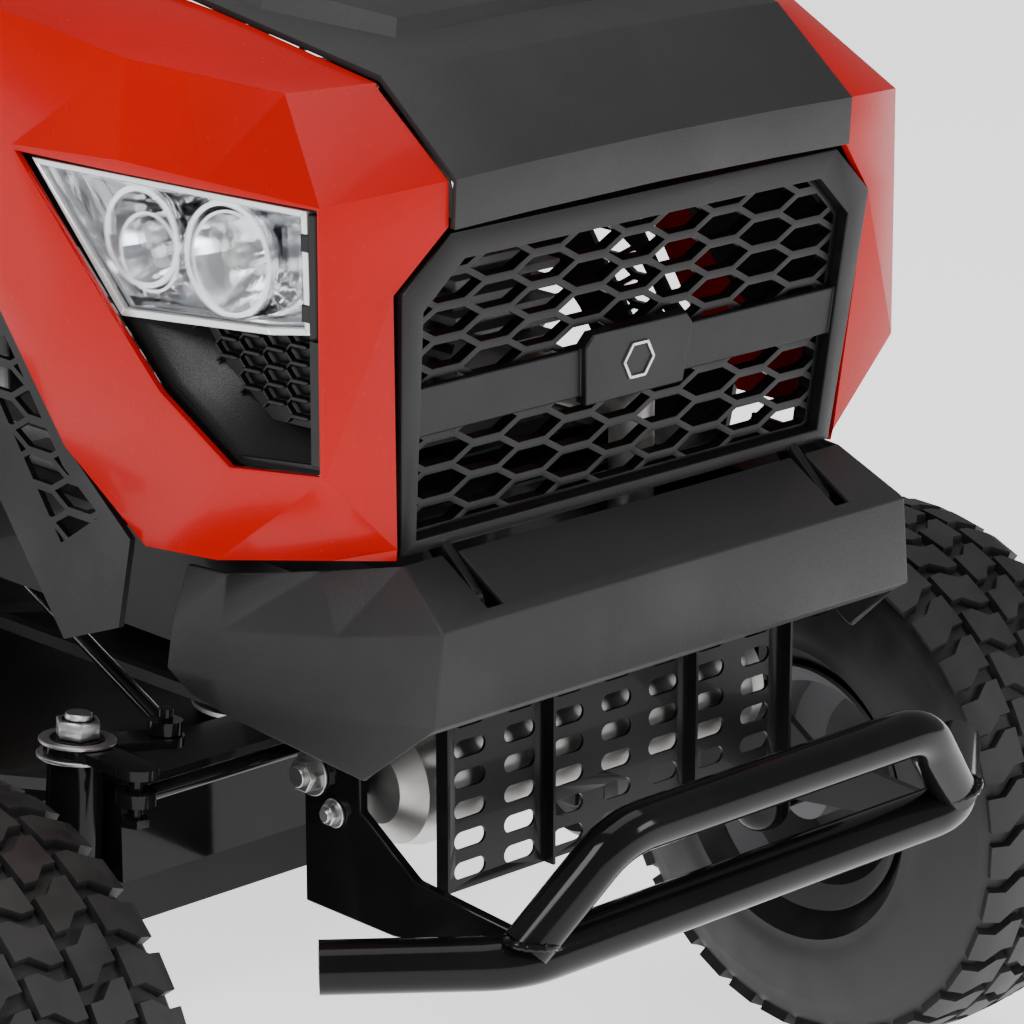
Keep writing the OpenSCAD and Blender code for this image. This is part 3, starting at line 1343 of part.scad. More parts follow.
tyre(-rear_wheel_x, rear_axle_y, rear_wheel_z, rear_tyre_w, rear_tyre_d, rear_rim_d);  // rear_tyre_right
rear_rim(1);  // rear_rim_left
rear_rim(-1);  // rear_rim_right
crank_pulley();
transaxle_pulley();
deck_shell();
deck_belt();
deflector();
spindle(1);  // spindle_left
blade(1);  // blade_left
spindle(-1);  // spindle_right
blade(-1);  // blade_right
gauge_wheel(1);  // gauge_wheel_left
gauge_wheel(-1);  // gauge_wheel_right
lift_shaft();
seat_cushion();
seat_back();
seat_pan();
brake_pedal();
drive_pedal();
throttle_lever();
ignition_key();
pto_knob();
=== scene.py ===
"""Riding lawn mower: finished pieces, materials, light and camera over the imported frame."""

import logging
import math
from dataclasses import dataclass, field
from enum import Enum
from typing import Callable, Iterable, Sequence

import bmesh
import bpy
from mathutils import Matrix, Vector


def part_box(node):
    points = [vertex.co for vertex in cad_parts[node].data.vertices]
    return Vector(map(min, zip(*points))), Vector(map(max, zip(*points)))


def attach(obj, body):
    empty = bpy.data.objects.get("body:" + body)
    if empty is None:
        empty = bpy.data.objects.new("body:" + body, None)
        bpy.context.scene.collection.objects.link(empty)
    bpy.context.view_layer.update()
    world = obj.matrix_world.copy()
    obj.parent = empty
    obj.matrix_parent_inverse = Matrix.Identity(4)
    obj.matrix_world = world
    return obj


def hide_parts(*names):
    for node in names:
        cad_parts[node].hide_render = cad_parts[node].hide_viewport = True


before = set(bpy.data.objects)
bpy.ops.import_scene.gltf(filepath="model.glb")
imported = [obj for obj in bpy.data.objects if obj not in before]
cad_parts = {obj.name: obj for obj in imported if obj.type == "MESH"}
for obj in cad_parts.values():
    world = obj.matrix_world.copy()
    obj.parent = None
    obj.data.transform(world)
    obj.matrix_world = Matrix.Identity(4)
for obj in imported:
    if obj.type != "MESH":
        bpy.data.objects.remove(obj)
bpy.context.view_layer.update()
log = logging.getLogger("mower")
MM = 0.001


class Side(Enum):
    """Which side of the machine a piece is on, as the sign of X."""

    LEFT = 1
    RIGHT = -1


@dataclass(frozen=True)
class Place:
    """The mower's own axes inside the row frame: centre line, ground and nose bar."""

    nose_bar_y: float = 36.3

    def at(self, x: float, y: float, z: float) -> Vector:
        """Turn mower millimetres into row metres.

        Args:
            x: to the operator's left of the centre line.
            y: back from the nose datum.
            z: above the ground.

        Returns:
            The point in metres.
        """
        low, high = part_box("frame_rails")
        return Vector(((low.x + high.x) / 2 + x * MM, low.y + (y - self.nose_bar_y) * MM, z * MM))

    def lamp(self, side: Side, u: float, v: float, out: float) -> Vector:
        """Give a point of the lamp's tilted plane: u back, v up, out from the plane."""
        turn = math.radians(6)
        x = 233 + u * math.sin(turn) + out * math.cos(turn)
        return self.at(side.value * x, 85 + u * math.cos(turn) - out * math.sin(turn), v)


PLACE = Place()


class Value:
    """A shader socket that Python's operators work on."""

    def __init__(self, tree: bpy.types.NodeTree, socket: bpy.types.NodeSocket) -> None:
        """Keep the tree and the socket."""
        self.tree, self.socket = tree, socket

    def _math(self, operation: str, first: object, second: object) -> "Value":
        """Add one Math node for an operation on two values."""
        node = self.tree.nodes.new("ShaderNodeMath")
        node.operation = operation
        for slot, item in zip(node.inputs, (first, second)):
            if isinstance(item, Value):
                self.tree.links.new(item.socket, slot)
            else:
                slot.default_value = float(item)
        return Value(self.tree, node.outputs[0])

    def __add__(self, other: object) -> "Value":
        """Add."""
        return self._math("ADD", self, other)

    __radd__ = __add__

    def __mul__(self, other: object) -> "Value":
        """Multiply."""
        return self._math("MULTIPLY", self, other)

    __rmul__ = __mul__

    def __sub__(self, other: object) -> "Value":
        """Subtract."""
        return self._math("SUBTRACT", self, other)

    def __rsub__(self, other: object) -> "Value":
        """Subtract from a number."""
        return self._math("SUBTRACT", other, self)

    def __truediv__(self, other: object) -> "Value":
        """Divide."""
        return self._math("DIVIDE", self, other)

    def __rtruediv__(self, other: object) -> "Value":
        """Divide a number."""
        return self._math("DIVIDE", other, self)

    def __pow__(self, other: object) -> "Value":
        """Raise to a power."""
        return self._math("POWER", self, other)


class Recipe:
    """One material's node tree, with a single method that adds any node."""

    def __init__(self, name: str) -> None:
        """Start the material with a Principled shader."""
        self.material = bpy.data.materials.new(name)
        self.material.use_nodes = True
        self.tree = self.material.node_tree
        self.shader = self.tree.nodes["Principled BSDF"]

    def node(self, kind: str, settings: dict | None = None, inputs: dict | None = None) -> bpy.types.Node:
        """Add a node of a type, its settings first, then its sockets' values or links."""
        made = self.tree.nodes.new(kind)
        for key, item in (settings or {}).items():
            if key == "stops":
                for stop, (where, colour) in zip(self._stops(made, len(item)), item):
                    stop.position, stop.color = where, colour
            else:
                setattr(made, key, item)
        for key, item in (inputs or {}).items():
            self.feed(made.inputs[key], item)
        return made

    @staticmethod
    def _stops(ramp: bpy.types.Node, count: int) -> Iterable[bpy.types.ColorRampElement]:
        """Give a colour ramp as many stops as asked."""
        while len(ramp.color_ramp.elements) < count:
            ramp.color_ramp.elements.new(0.5)
        return ramp.color_ramp.elements

    def feed(self, socket: bpy.types.NodeSocket, item: object) -> None:
        """Link a value to a socket, or set it."""
        if isinstance(item, Value):
            self.tree.links.new(item.socket, socket)
        elif isinstance(item, bpy.types.NodeSocket):
            self.tree.links.new(item, socket)
        else:
            socket.default_value = item

    def out(self, node: bpy.types.Node, index: int | str = 0) -> Value:
        """Wrap a node's output."""
        return Value(self.tree, node.outputs[index])

    def spot(self, stretch: Sequence[float] = (1, 1, 1)) -> Value:
        """Give Object coordinates, stretched along each axis."""
        where = self.node("ShaderNodeTexCoord")
        return self.out(self.node("ShaderNodeMapping", {}, {"Vector": where.outputs["Object"], "Scale": tuple(stretch)}))

    def noise(self, scale: float, detail: float = 3, stretch: Sequence[float] = (1, 1, 1)) -> Value:
        """Give a noise value between 0 and 1."""
        return self.out(self.node("ShaderNodeTexNoise", {}, {"Vector": self.spot(stretch), "Scale": scale, "Detail": detail}), "Fac")

    def cells(self, scale: float, feature: str = "F1") -> Value:
        """Give the distance in a cell pattern."""
        return self.out(self.node("ShaderNodeTexVoronoi", {"feature": feature}, {"Vector": self.spot(), "Scale": scale}), "Distance")

    def ramp(self, value: Value, low: float, high: float) -> Value:
        """Stretch a value so that low gives 0 and high gives 1, kept inside."""
        return self.out(self.node("ShaderNodeMapRange", {"clamp": True}, {"Value": value, "From Min": low, "From Max": high}))

    def blend(self, factor: Value, first: Sequence[float], second: Sequence[float]) -> Value:
        """Mix two colours by a value."""
        mix = self.node("ShaderNodeMix", {"data_type": "RGBA"})
        self.feed(mix.inputs[0], factor)
        mix.inputs[6].default_value = (*first, 1)
        mix.inputs[7].default_value = (*second, 1)
        return self.out(mix, 2)

    def relief(self, height: Value, strength: float, depth: float) -> None:
        """Send a height to the normal through a Bump node."""
        bump = self.node("ShaderNodeBump", {}, {"Height": height, "Strength": strength, "Distance": depth})
        self.feed(self.shader.inputs["Normal"], bump.outputs[0])

    def put(self, **items: object) -> None:
        """Set the shader's sockets by name, with _ for a space."""
        for key, item in items.items():
            self.feed(self.shader.inputs[key.replace("_", " ")], item)


@dataclass(frozen=True)
class Paint:
    """Sprayed gloss paint with orange peel, soft mottling and settled dust."""

    name: str
    colour: tuple[float, float, float]
    shade: tuple[float, float, float]
    gloss: float = 0.2
    peel: float = 0.12

    def material(self) -> bpy.types.Material:
        """Build the paint."""
        mix = Recipe(self.name)
        mottle = mix.ramp(mix.noise(9, 4), 0.35, 0.7)
        dust = mix.ramp(mix.noise(160, 2), 0.62, 0.8)
        mix.put(Base_Color=mix.blend(mottle, self.colour, self.shade), Roughness=self.gloss + dust * 0.1 + mottle * 0.03)
        mix.put(Coat_Weight=0.08, Coat_Roughness=0.04, Specular_IOR_Level=0.15)
        mix.relief(mix.noise(420, 2), self.peel, 0.0002)
        return mix.material


@dataclass(frozen=True)
class Plastic:
    """Moulded plastic with a fine spark-eroded grain and rubbed patches."""

    name: str
    colour: tuple[float, float, float]
    rubbed: tuple[float, float, float]
    rough: float = 0.5
    grain: float = 0.35
    shine: float = 0.5

    def material(self) -> bpy.types.Material:
        """Build the plastic."""
        mix = Recipe(self.name)
        wear = mix.ramp(mix.noise(14, 5), 0.45, 0.75)
        pits = mix.cells(900)
        mix.put(Base_Color=mix.blend(wear, self.colour, self.rubbed), Roughness=self.rough + wear * -0.08 + pits * 0.1)
        mix.put(Specular_IOR_Level=self.shine)
        mix.relief(pits + mix.noise(1500, 2) * 0.6, self.grain, 0.00025)
        return mix.material


@dataclass(frozen=True)
class Metal:
    """Bare or plated metal, brushed along one axis or cast."""

    name: str
    colour: tuple[float, float, float]
    stain: tuple[float, float, float]
    rough: float = 0.32
    brush: tuple[float, float, float] = (1, 1, 1)
    scale: float = 220
    metallic: float = 1.0

    def material(self) -> bpy.types.Material:
        """Build the metal."""
        mix = Recipe(self.name)
        marks = mix.noise(self.scale, 4, self.brush)
        patch = mix.ramp(mix.noise(22, 5), 0.4, 0.75)
        mix.put(Base_Color=mix.blend(patch, self.colour, self.stain), Roughness=self.rough + patch * 0.15 + marks * 0.1)
        mix.put(Metallic=self.metallic)
        mix.relief(marks, 0.18, 0.0003)
        return mix.material


@dataclass(frozen=True)
class Rubber:
    """Moulded rubber with a dusty bloom."""

    name: str
    colour: tuple[float, float, float] = (0.010, 0.010, 0.010)
    bloom: tuple[float, float, float] = (0.028, 0.0275, 0.0265)

    def material(self) -> bpy.types.Material:
        """Build the rubber."""
        mix = Recipe(self.name)
        haze = mix.ramp(mix.noise(35, 6), 0.4, 0.8)
        mix.put(Base_Color=mix.blend(haze, self.colour, self.bloom), Roughness=0.52 + haze * 0.2)
        mix.relief(mix.noise(600, 3) + mix.cells(260) * 0.4, 0.3, 0.0003)
        return mix.material


@dataclass(frozen=True)
class Vinyl:
    """Grained seat vinyl."""

    name: str
    colour: tuple[float, float, float] = (0.022, 0.022, 0.024)

    def material(self) -> bpy.types.Material:
        """Build the vinyl."""
        mix = Recipe(self.name)
        grain = mix.cells(520, "F1")
        wear = mix.ramp(mix.noise(11, 4), 0.45, 0.8)
        mix.put(Base_Color=mix.blend(wear, self.colour, (0.045, 0.045, 0.047)), Roughness=0.42 + grain * 0.2 + wear * 0.08)
        mix.relief(grain + mix.noise(90, 3) * 0.5, 0.45, 0.0006)
        return mix.material


@dataclass(frozen=True)
class Clear:
    """Clear moulded lamp cover."""

    name: str

    def material(self) -> bpy.types.Material:
        """Build the cover, mostly see-through with a gloss face."""
        mix = Recipe(self.name)
        haze = mix.ramp(mix.noise(60, 3), 0.3, 0.9)
        mix.put(Base_Color=mix.blend(haze, (0.9, 0.94, 0.97), (0.8, 0.85, 0.9)), Roughness=0.03 + haze * 0.03)
        mix.put(Transmission_Weight=1.0, IOR=1.15, Alpha=0.35 + haze * 0.05)
        return mix.material


@dataclass(frozen=True)
class Floor:
    """Pale studio floor."""

    name: str = "studio_floor"
    glow: float = 1.4

    def material(self) -> bpy.types.Material:
        """Build the floor."""
        mix = Recipe(self.name)
        mix.put(Base_Color=mix.blend(mix.noise(2), (0.9, 0.9, 0.9), (0.93, 0.93, 0.93)), Roughness=0.6)
        mix.put(Emission_Color=(1, 1, 1, 1), Emission_Strength=self.glow)
        return mix.material


@dataclass
class Paintshop:
    """Holds every finish once, by the part it dresses."""

    made: dict[str, bpy.types.Material] = field(default_factory=dict)

    def get(self, finish: object) -> bpy.types.Material:
        """Build a finish the first time it is asked for."""
        if finish.name not in self.made:
            self.made[finish.name] = finish.material()
        return self.made[finish.name]

    def dress(self, piece: bpy.types.Object, finish: object) -> None:
        """Give a piece its finish in place of any it has."""
        piece.data.materials.clear()
        piece.data.materials.append(self.get(finish))


RED = Paint("hood_red", (0.5, 0.0006, 0.0001), (0.44, 0.0006, 0.0001), 0.22)
GLOSS_BLACK = Paint("guard_black", (0.004, 0.004, 0.004), (0.008, 0.008, 0.008), 0.1, 0.05)
CHASSIS_BLACK = Paint("chassis_black", (0.005, 0.005, 0.005), (0.01, 0.01, 0.01), 0.3, 0.14)
TRIM = Plastic("trim_black", (0.011, 0.011, 0.012), (0.016, 0.016, 0.017), 0.5)
GRILLE = Plastic("grille_black", (0.004, 0.004, 0.004), (0.008, 0.008, 0.008), 0.34, 0.2, 0.3)
WHEEL_PLASTIC = Plastic("wheel_grey", (0.018, 0.018, 0.02), (0.05, 0.05, 0.052), 0.42, 0.3)
YELLOW = Plastic("knob_yellow", (0.75, 0.42, 0.02), (0.65, 0.34, 0.02), 0.35, 0.2)
TANK = Plastic("tank_ivory", (0.72, 0.70, 0.62), (0.66, 0.62, 0.52), 0.35, 0.15)
ZINC = Metal("zinc_plate", (0.62, 0.62, 0.63), (0.45, 0.44, 0.42), 0.28)
CHROME = Metal("lamp_chrome", (0.93, 0.94, 0.95), (0.86, 0.87, 0.89), 0.04, (1, 1, 1), 30)
MUFFLER = Metal("muffler_steel", (0.55, 0.54, 0.53), (0.36, 0.34, 0.32), 0.34, (0.2, 1, 1), 160)
CAST = Metal("cast_alloy", (0.42, 0.42, 0.43), (0.3, 0.3, 0.31), 0.5, (1, 1, 1), 320, 0.85)
RIM = Paint("rim_grey", (0.13, 0.132, 0.138), (0.16, 0.16, 0.165), 0.32, 0.1)
TYRE = Rubber("tyre_rubber")
BELT = Rubber("belt_rubber", (0.014, 0.014, 0.014), (0.03, 0.03, 0.03))
VINYL = Vinyl("seat_vinyl")
CLEAR = Clear("lamp_cover")
FROST = Metal("lamp_frost", (0.86, 0.87, 0.88), (0.8, 0.81, 0.82), 0.12, (1, 1, 1), 60, 0.35)
SHOP = Paintshop()


def shade(mesh: bpy.types.Mesh, angle: float = 32) -> None:
    """Smooth a mesh's faces and keep edges sharper than an angle in degrees."""
    for face in mesh.polygons:
        face.use_smooth = True
    mesh.set_sharp_from_angle(angle=math.radians(angle))


def add_piece(name: str, mesh: bpy.types.Mesh, body: str, slot: str, finish: object) -> bpy.types.Object:
    """Put a finished mesh in the scene as a piece of a body.

    Args:
        name: the piece's name.
        mesh: its mesh, already in place.
        body: the CAD body it rides on.
        slot: the record's material slot; not used.
        finish: the finish that dresses it.

    Returns:
        The new object.
    """
    piece = bpy.data.objects.new(name, mesh)
    bpy.context.scene.collection.objects.link(piece)
    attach(piece, body)
    SHOP.dress(piece, finish)
    log.info("%s: %d faces on %s", name, len(mesh.polygons), body)
    return piece


def mesh_from(name: str, work: bmesh.types.BMesh, angle: float = 32, mend: bool = True) -> bpy.types.Mesh:
    """Close a bmesh into a shaded mesh, its normals recalculated if asked."""
    if mend:
        bmesh.ops.remove_doubles(work, verts=work.verts[:], dist=1e-6)
        bmesh.ops.recalc_face_normals(work, faces=work.faces[:])
    mesh = bpy.data.meshes.new(name)
    work.to_mesh(mesh)
    work.free()
    shade(mesh, angle)
    return mesh


def soften(node: str, body: str, slot: str, finish: object, width: float = 1.5, angle: float = 20,
           segments: int = 2, before: Callable[[bmesh.types.BMesh], None] | None = None) -> bpy.types.Object:
    """Replace a CAD node by a copy with rounded edges.

    Args:
        node: the CAD node.
        body: its body.
        slot: its material slot; only passed on, not used.
        finish: the finish.
        width: the round's width in mm.
        angle: edges that turn more than this many degrees are rounded.
        segments: cuts across each round.
        before: a step that works on the mesh first.

    Returns:
        The new piece.
    """
    work = bmesh.new()
    work.from_mesh(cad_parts[node].data)
    bmesh.ops.remove_doubles(work, verts=work.verts[:], dist=2e-6)
    bmesh.ops.dissolve_limit(work, angle_limit=math.radians(0.6), verts=work.verts[:], edges=work.edges[:])
    if before:
        before(work)
    limit = math.radians(angle)
    edges = [e for e in work.edges if len(e.link_faces) == 2 and e.calc_face_angle(0) > limit]
    if edges:
        bmesh.ops.bevel(work, geom=edges, offset=width * MM, offset_type="OFFSET", segments=segments, profile=0.5,
                        affect="EDGES", clamp_overlap=True, material=-1)
    bmesh.ops.triangulate(work, faces=[f for f in work.faces if len(f.verts) > 8])
    piece = add_piece("soft_" + node, mesh_from(node, work, 25, False), body, slot, finish)
    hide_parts(node)
    return piece


def rounded(points: Sequence[Vector], radius: float, steps: int = 8) -> list[Vector]:
    """Round the corners of a path.

    Args:
        points: the path's corners, in metres.
        radius: the bend radius in metres.
        steps: points along each bend.

    Returns:
        The path's points.
    """
    path = [points[0]]
    for before, here, after in zip(points, points[1:], points[2:]):
        back, on = (before - here).normalized(), (after - here).normalized()
        turn = math.pi - back.angle(on)
        cut = min(radius * math.tan(turn / 2), 0.45 * (before - here).length, 0.45 * (after - here).length)
        first, last = here + back * cut, here + on * cut
        for step in range(steps + 1):
            t = step / steps
            path.append(first * (1 - t) ** 2 + here * 2 * t * (1 - t) + last * t ** 2)
    return path + [points[-1]]


def tube(name: str, path: Sequence[Vector], radius: float, wall: float = 0.0, sides: int = 8) -> bpy.types.Mesh:
    """Sweep a round tube along a path, open and walled if a wall is given."""
    line = bpy.data.curves.new(name, "CURVE")
    line.dimensions, line.bevel_depth, line.bevel_resolution = "3D", radius, sides
    line.use_fill_caps = wall == 0
    spline = line.splines.new("POLY")
    spline.points.add(len(path) - 1)
    for point, where in zip(spline.points, path):
        point.co = (*where, 1)
    holder = bpy.data.objects.new(name, line)
    bpy.context.scene.collection.objects.link(holder)
    bpy.context.view_layer.update()
    mesh = bpy.data.meshes.new_from_object(holder.evaluated_get(bpy.context.evaluated_depsgraph_get()))
    bpy.data.objects.remove(holder)
    work = bmesh.new()
    work.from_mesh(mesh)
    bmesh.ops.remove_doubles(work, verts=work.verts[:], dist=1e-6)
    bmesh.ops.recalc_face_normals(work, faces=work.faces[:])
    if wall:
        bmesh.ops.solidify(work, geom=work.faces[:], thickness=wall)
    bpy.data.meshes.remove(mesh)
    return mesh_from(name, work, 40, wall == 0)


def merge(name: str, meshes: Iterable[bpy.types.Mesh], angle: float = 35) -> bpy.types.Mesh:
    """Join meshes into one."""
    work = bmesh.new()
    for mesh in meshes:
        work.from_mesh(mesh)
        bpy.data.meshes.remove(mesh)
    return mesh_from(name, work, angle, False)


def prism(work: bmesh.types.BMesh, outline: Sequence[Vector], rise: Vector, bevel: float = 0.0) -> None:
    """Extrude a closed outline by a vector and round its rim."""
    before = set(work.faces)
    base = work.faces.new([work.verts.new(p) for p in outline])
    grown = bmesh.ops.extrude_face_region(work, geom=[base])
    tops = [v for v in grown["geom"] if isinstance(v, bmesh.types.BMVert)]
    bmesh.ops.translate(work, vec=rise, verts=tops)
    fresh = [f for f in work.faces if f not in before]
    bmesh.ops.recalc_face_normals(work, faces=fresh)
    if bevel:
        rim = [e for f in fresh for e in f.edges if any(v in tops for v in e.verts)]
        bmesh.ops.bevel(work, geom=list(set(rim)), offset=bevel, offset_type="OFFSET", segments=1, profile=0.5,
                        affect="EDGES", clamp_overlap=True, material=-1)


@dataclass
class TurfTyre:
    """A turf tyre: bulged carcass with rows of chevron blocks."""

    node: str
    body: str
    columns: int
    count: int
    block: float = 13.0
    height: float = 7.0
    crown: float = 4.0
    shoulder: float = 26.0

    def build(self) -> bpy.types.Object:
        """Build the tyre in place of its node.

        Returns:
            The tyre piece.
        """
        low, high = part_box(self.node)
        self.middle = (low + high) / 2
        self.radius = (high.z - low.z) / 2 / MM
        self.half = (high.x - low.x) / 2 / MM
        self.flat = self.half - self.shoulder - 0.5
        work = bmesh.new()
        self._carcass(work)
        self._blocks(work)
        mesh = mesh_from(self.node, work, 38, False)
        piece = add_piece("turf_" + self.node, mesh, self.body, "tyre_rubber", TYRE)
        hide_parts(self.node)
        return piece

    def _skin(self, across: float, lift: float) -> tuple[float, float]:
        """Give the tread's place across and radius at a distance from its centre line."""
        way, sign = abs(across), 1 if across >= 0 else -1
        base = self.radius - self.height
        if way <= self.flat:
            return across, base - self.crown * (way / self.flat) ** 2 + lift
        turn = min((way - self.flat) / (self.shoulder - self.height), math.pi / 2)
        reach = self.shoulder - self.height + lift
        return sign * (self.flat + reach * math.sin(turn)), base - self.crown - (self.shoulder - self.height) + reach * math.cos(turn)

    def _point(self, across: float, radius: float, turn: float) -> Vector:
        """Give a point of the tyre in metres."""
        return self.middle + Vector((across, radius * math.cos(turn), radius * math.sin(turn))) * MM

    def _carcass(self, work: bmesh.types.BMesh) -> None:
        """Spin the carcass from its section."""
        bead, depth = self.half * 0.62, self.shoulder - self.height
        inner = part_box(self.node.replace("tyre", "rim"))
        rim = (inner[1].z - inner[0].z) / 2 / MM - 12
        side = self.flat + depth
        sweep = [self._skin(s * (self.flat + depth * 1.55), 0) for s in [i / 14 for i in range(-14, 15)]]
        low = sweep[-1][1]
        mid = (low + rim) / 2
        wall = [(side + 5, low - 8), (side + 6.4, mid + 8), (side + 7, mid), (side + 5.4, mid - 4), (side + 5.6, mid - 12),
                (bead + 9, rim + 15), (bead + 7, rim + 13), (bead + 2, rim + 3), (bead, rim + 0.5), (bead - 9, rim + 0.5)]
        wall = [(min(x, self.half - 0.6), r) for x, r in wall]
        section = [(-x, r) for x, r in reversed(wall)] + sweep + wall
        verts = [work.verts.new(self._point(x, r, 0)) for x, r in section]
        edges = [work.edges.new(pair) for pair in zip(verts, verts[1:] + verts[:1])]
        bmesh.ops.spin(work, geom=verts + edges, cent=self.middle, axis=(1, 0, 0), angle=2 * math.pi, steps=96, use_merge=True)
        bmesh.ops.remove_doubles(work, verts=work.verts[:], dist=1e-6)
        bmesh.ops.recalc_face_normals(work, faces=work.faces[:])

    def _blocks(self, work: bmesh.types.BMesh) -> None:
        """Lay the chevron blocks round the tread, each row half a step on from the last."""
        span = 2 * (self.flat + (self.shoulder - self.height) * 0.85)
        wide = span / self.columns
        step = 2 * math.pi / self.count
        pitch = step * self.radius
        for column in range(self.columns):
            centre = -span / 2 + (column + 0.5) * wide
            lean = 1 if column % 2 else -1
            for index in range(self.count):
                start = index * step + (step / 2 if column % 2 else 0)
                self._block(work, centre, wide * 0.56, start, pitch, lean)

    def _block(self, work: bmesh.types.BMesh, centre: float, half: float, start: float, pitch: float, lean: int) -> None:
        """Raise one block, bent in the middle like a chevron."""
        thick, hook = pitch * 0.76, pitch * 0.14
        shape = [(-half, -thick / 2 - hook * lean), (-half * 0.35, -thick / 2 - hook * lean), (half * 0.35, -thick / 2 + hook * lean),
                 (half, -thick / 2 + hook * lean), (half, thick / 2 + hook * lean), (half * 0.35, thick / 2 + hook * lean),
                 (-half * 0.35, thick / 2 - hook * lean), (-half, thick / 2 - hook * lean)]
        shape = [(u * 0.84, v) for u, v in shape]
        low, high = [], []
        for grow, lift, ring in ((1.0, -1.5, low), (0.92, self.height, high)):
            for u, v in shape:
                x, r = self._skin(centre + u * grow, lift)
                ring.append(work.verts.new(self._point(x, r, start + v * grow / self.radius)))
        for a in range(8):
            b = (a + 1) % 8
            work.faces.new((low[a], low[b], high[b], high[a]))
        for quad in ((0, 1, 6, 7), (1, 2, 5, 6), (2, 3, 4, 5)):
            work.faces.new([high[i] for i in quad])


@dataclass
class Grille:
    """Grille mesh, frame and plain badge."""

    lean: float = 6.32

    def point(self, u: float, v: float, out: float) -> Vector:
        """Give a point of the leaning grille plane."""
        turn = math.radians(self.lean)
        y = 83 - v * math.sin(turn) - out * math.cos(turn)
        return PLACE.at(u, y, 504.5 + v * math.cos(turn) - out * math.sin(turn))

    def build(self) -> None:
        """Round the frame and mesh, and add the badge's emblem."""
        soften("grille_frame", "hood", "black_plastic", GRILLE, 1.2)
        soften("grille_inserts", "hood", "black_plastic", GRILLE, 1.6, segments=2)
        self._emblem()

    def _emblem(self) -> None:
        """Set a plain hexagon ring on the badge plate."""
        work = bmesh.new()
        centre, out = 87, 1.4
        for half, wide in ((13, 2.2),):
            outer = [(half * math.cos(a), half * math.sin(a)) for a in [math.radians(60 * k) for k in range(6)]]
            inner = [(u * (1 - wide / half), v * (1 - wide / half)) for u, v in outer]
            for k in range(6):
                j = (k + 1) % 6
                quad = [outer[k], outer[j], inner[j], inner[k]]
                prism(work, [self.point(u, centre + v, out) for u, v in quad], self.point(0, 0, 1.2) - self.point(0, 0, 0), 0.0002)
        add_piece("badge_emblem", mesh_from("badge_emblem", work), "hood", "reflector_chrome", ZINC)


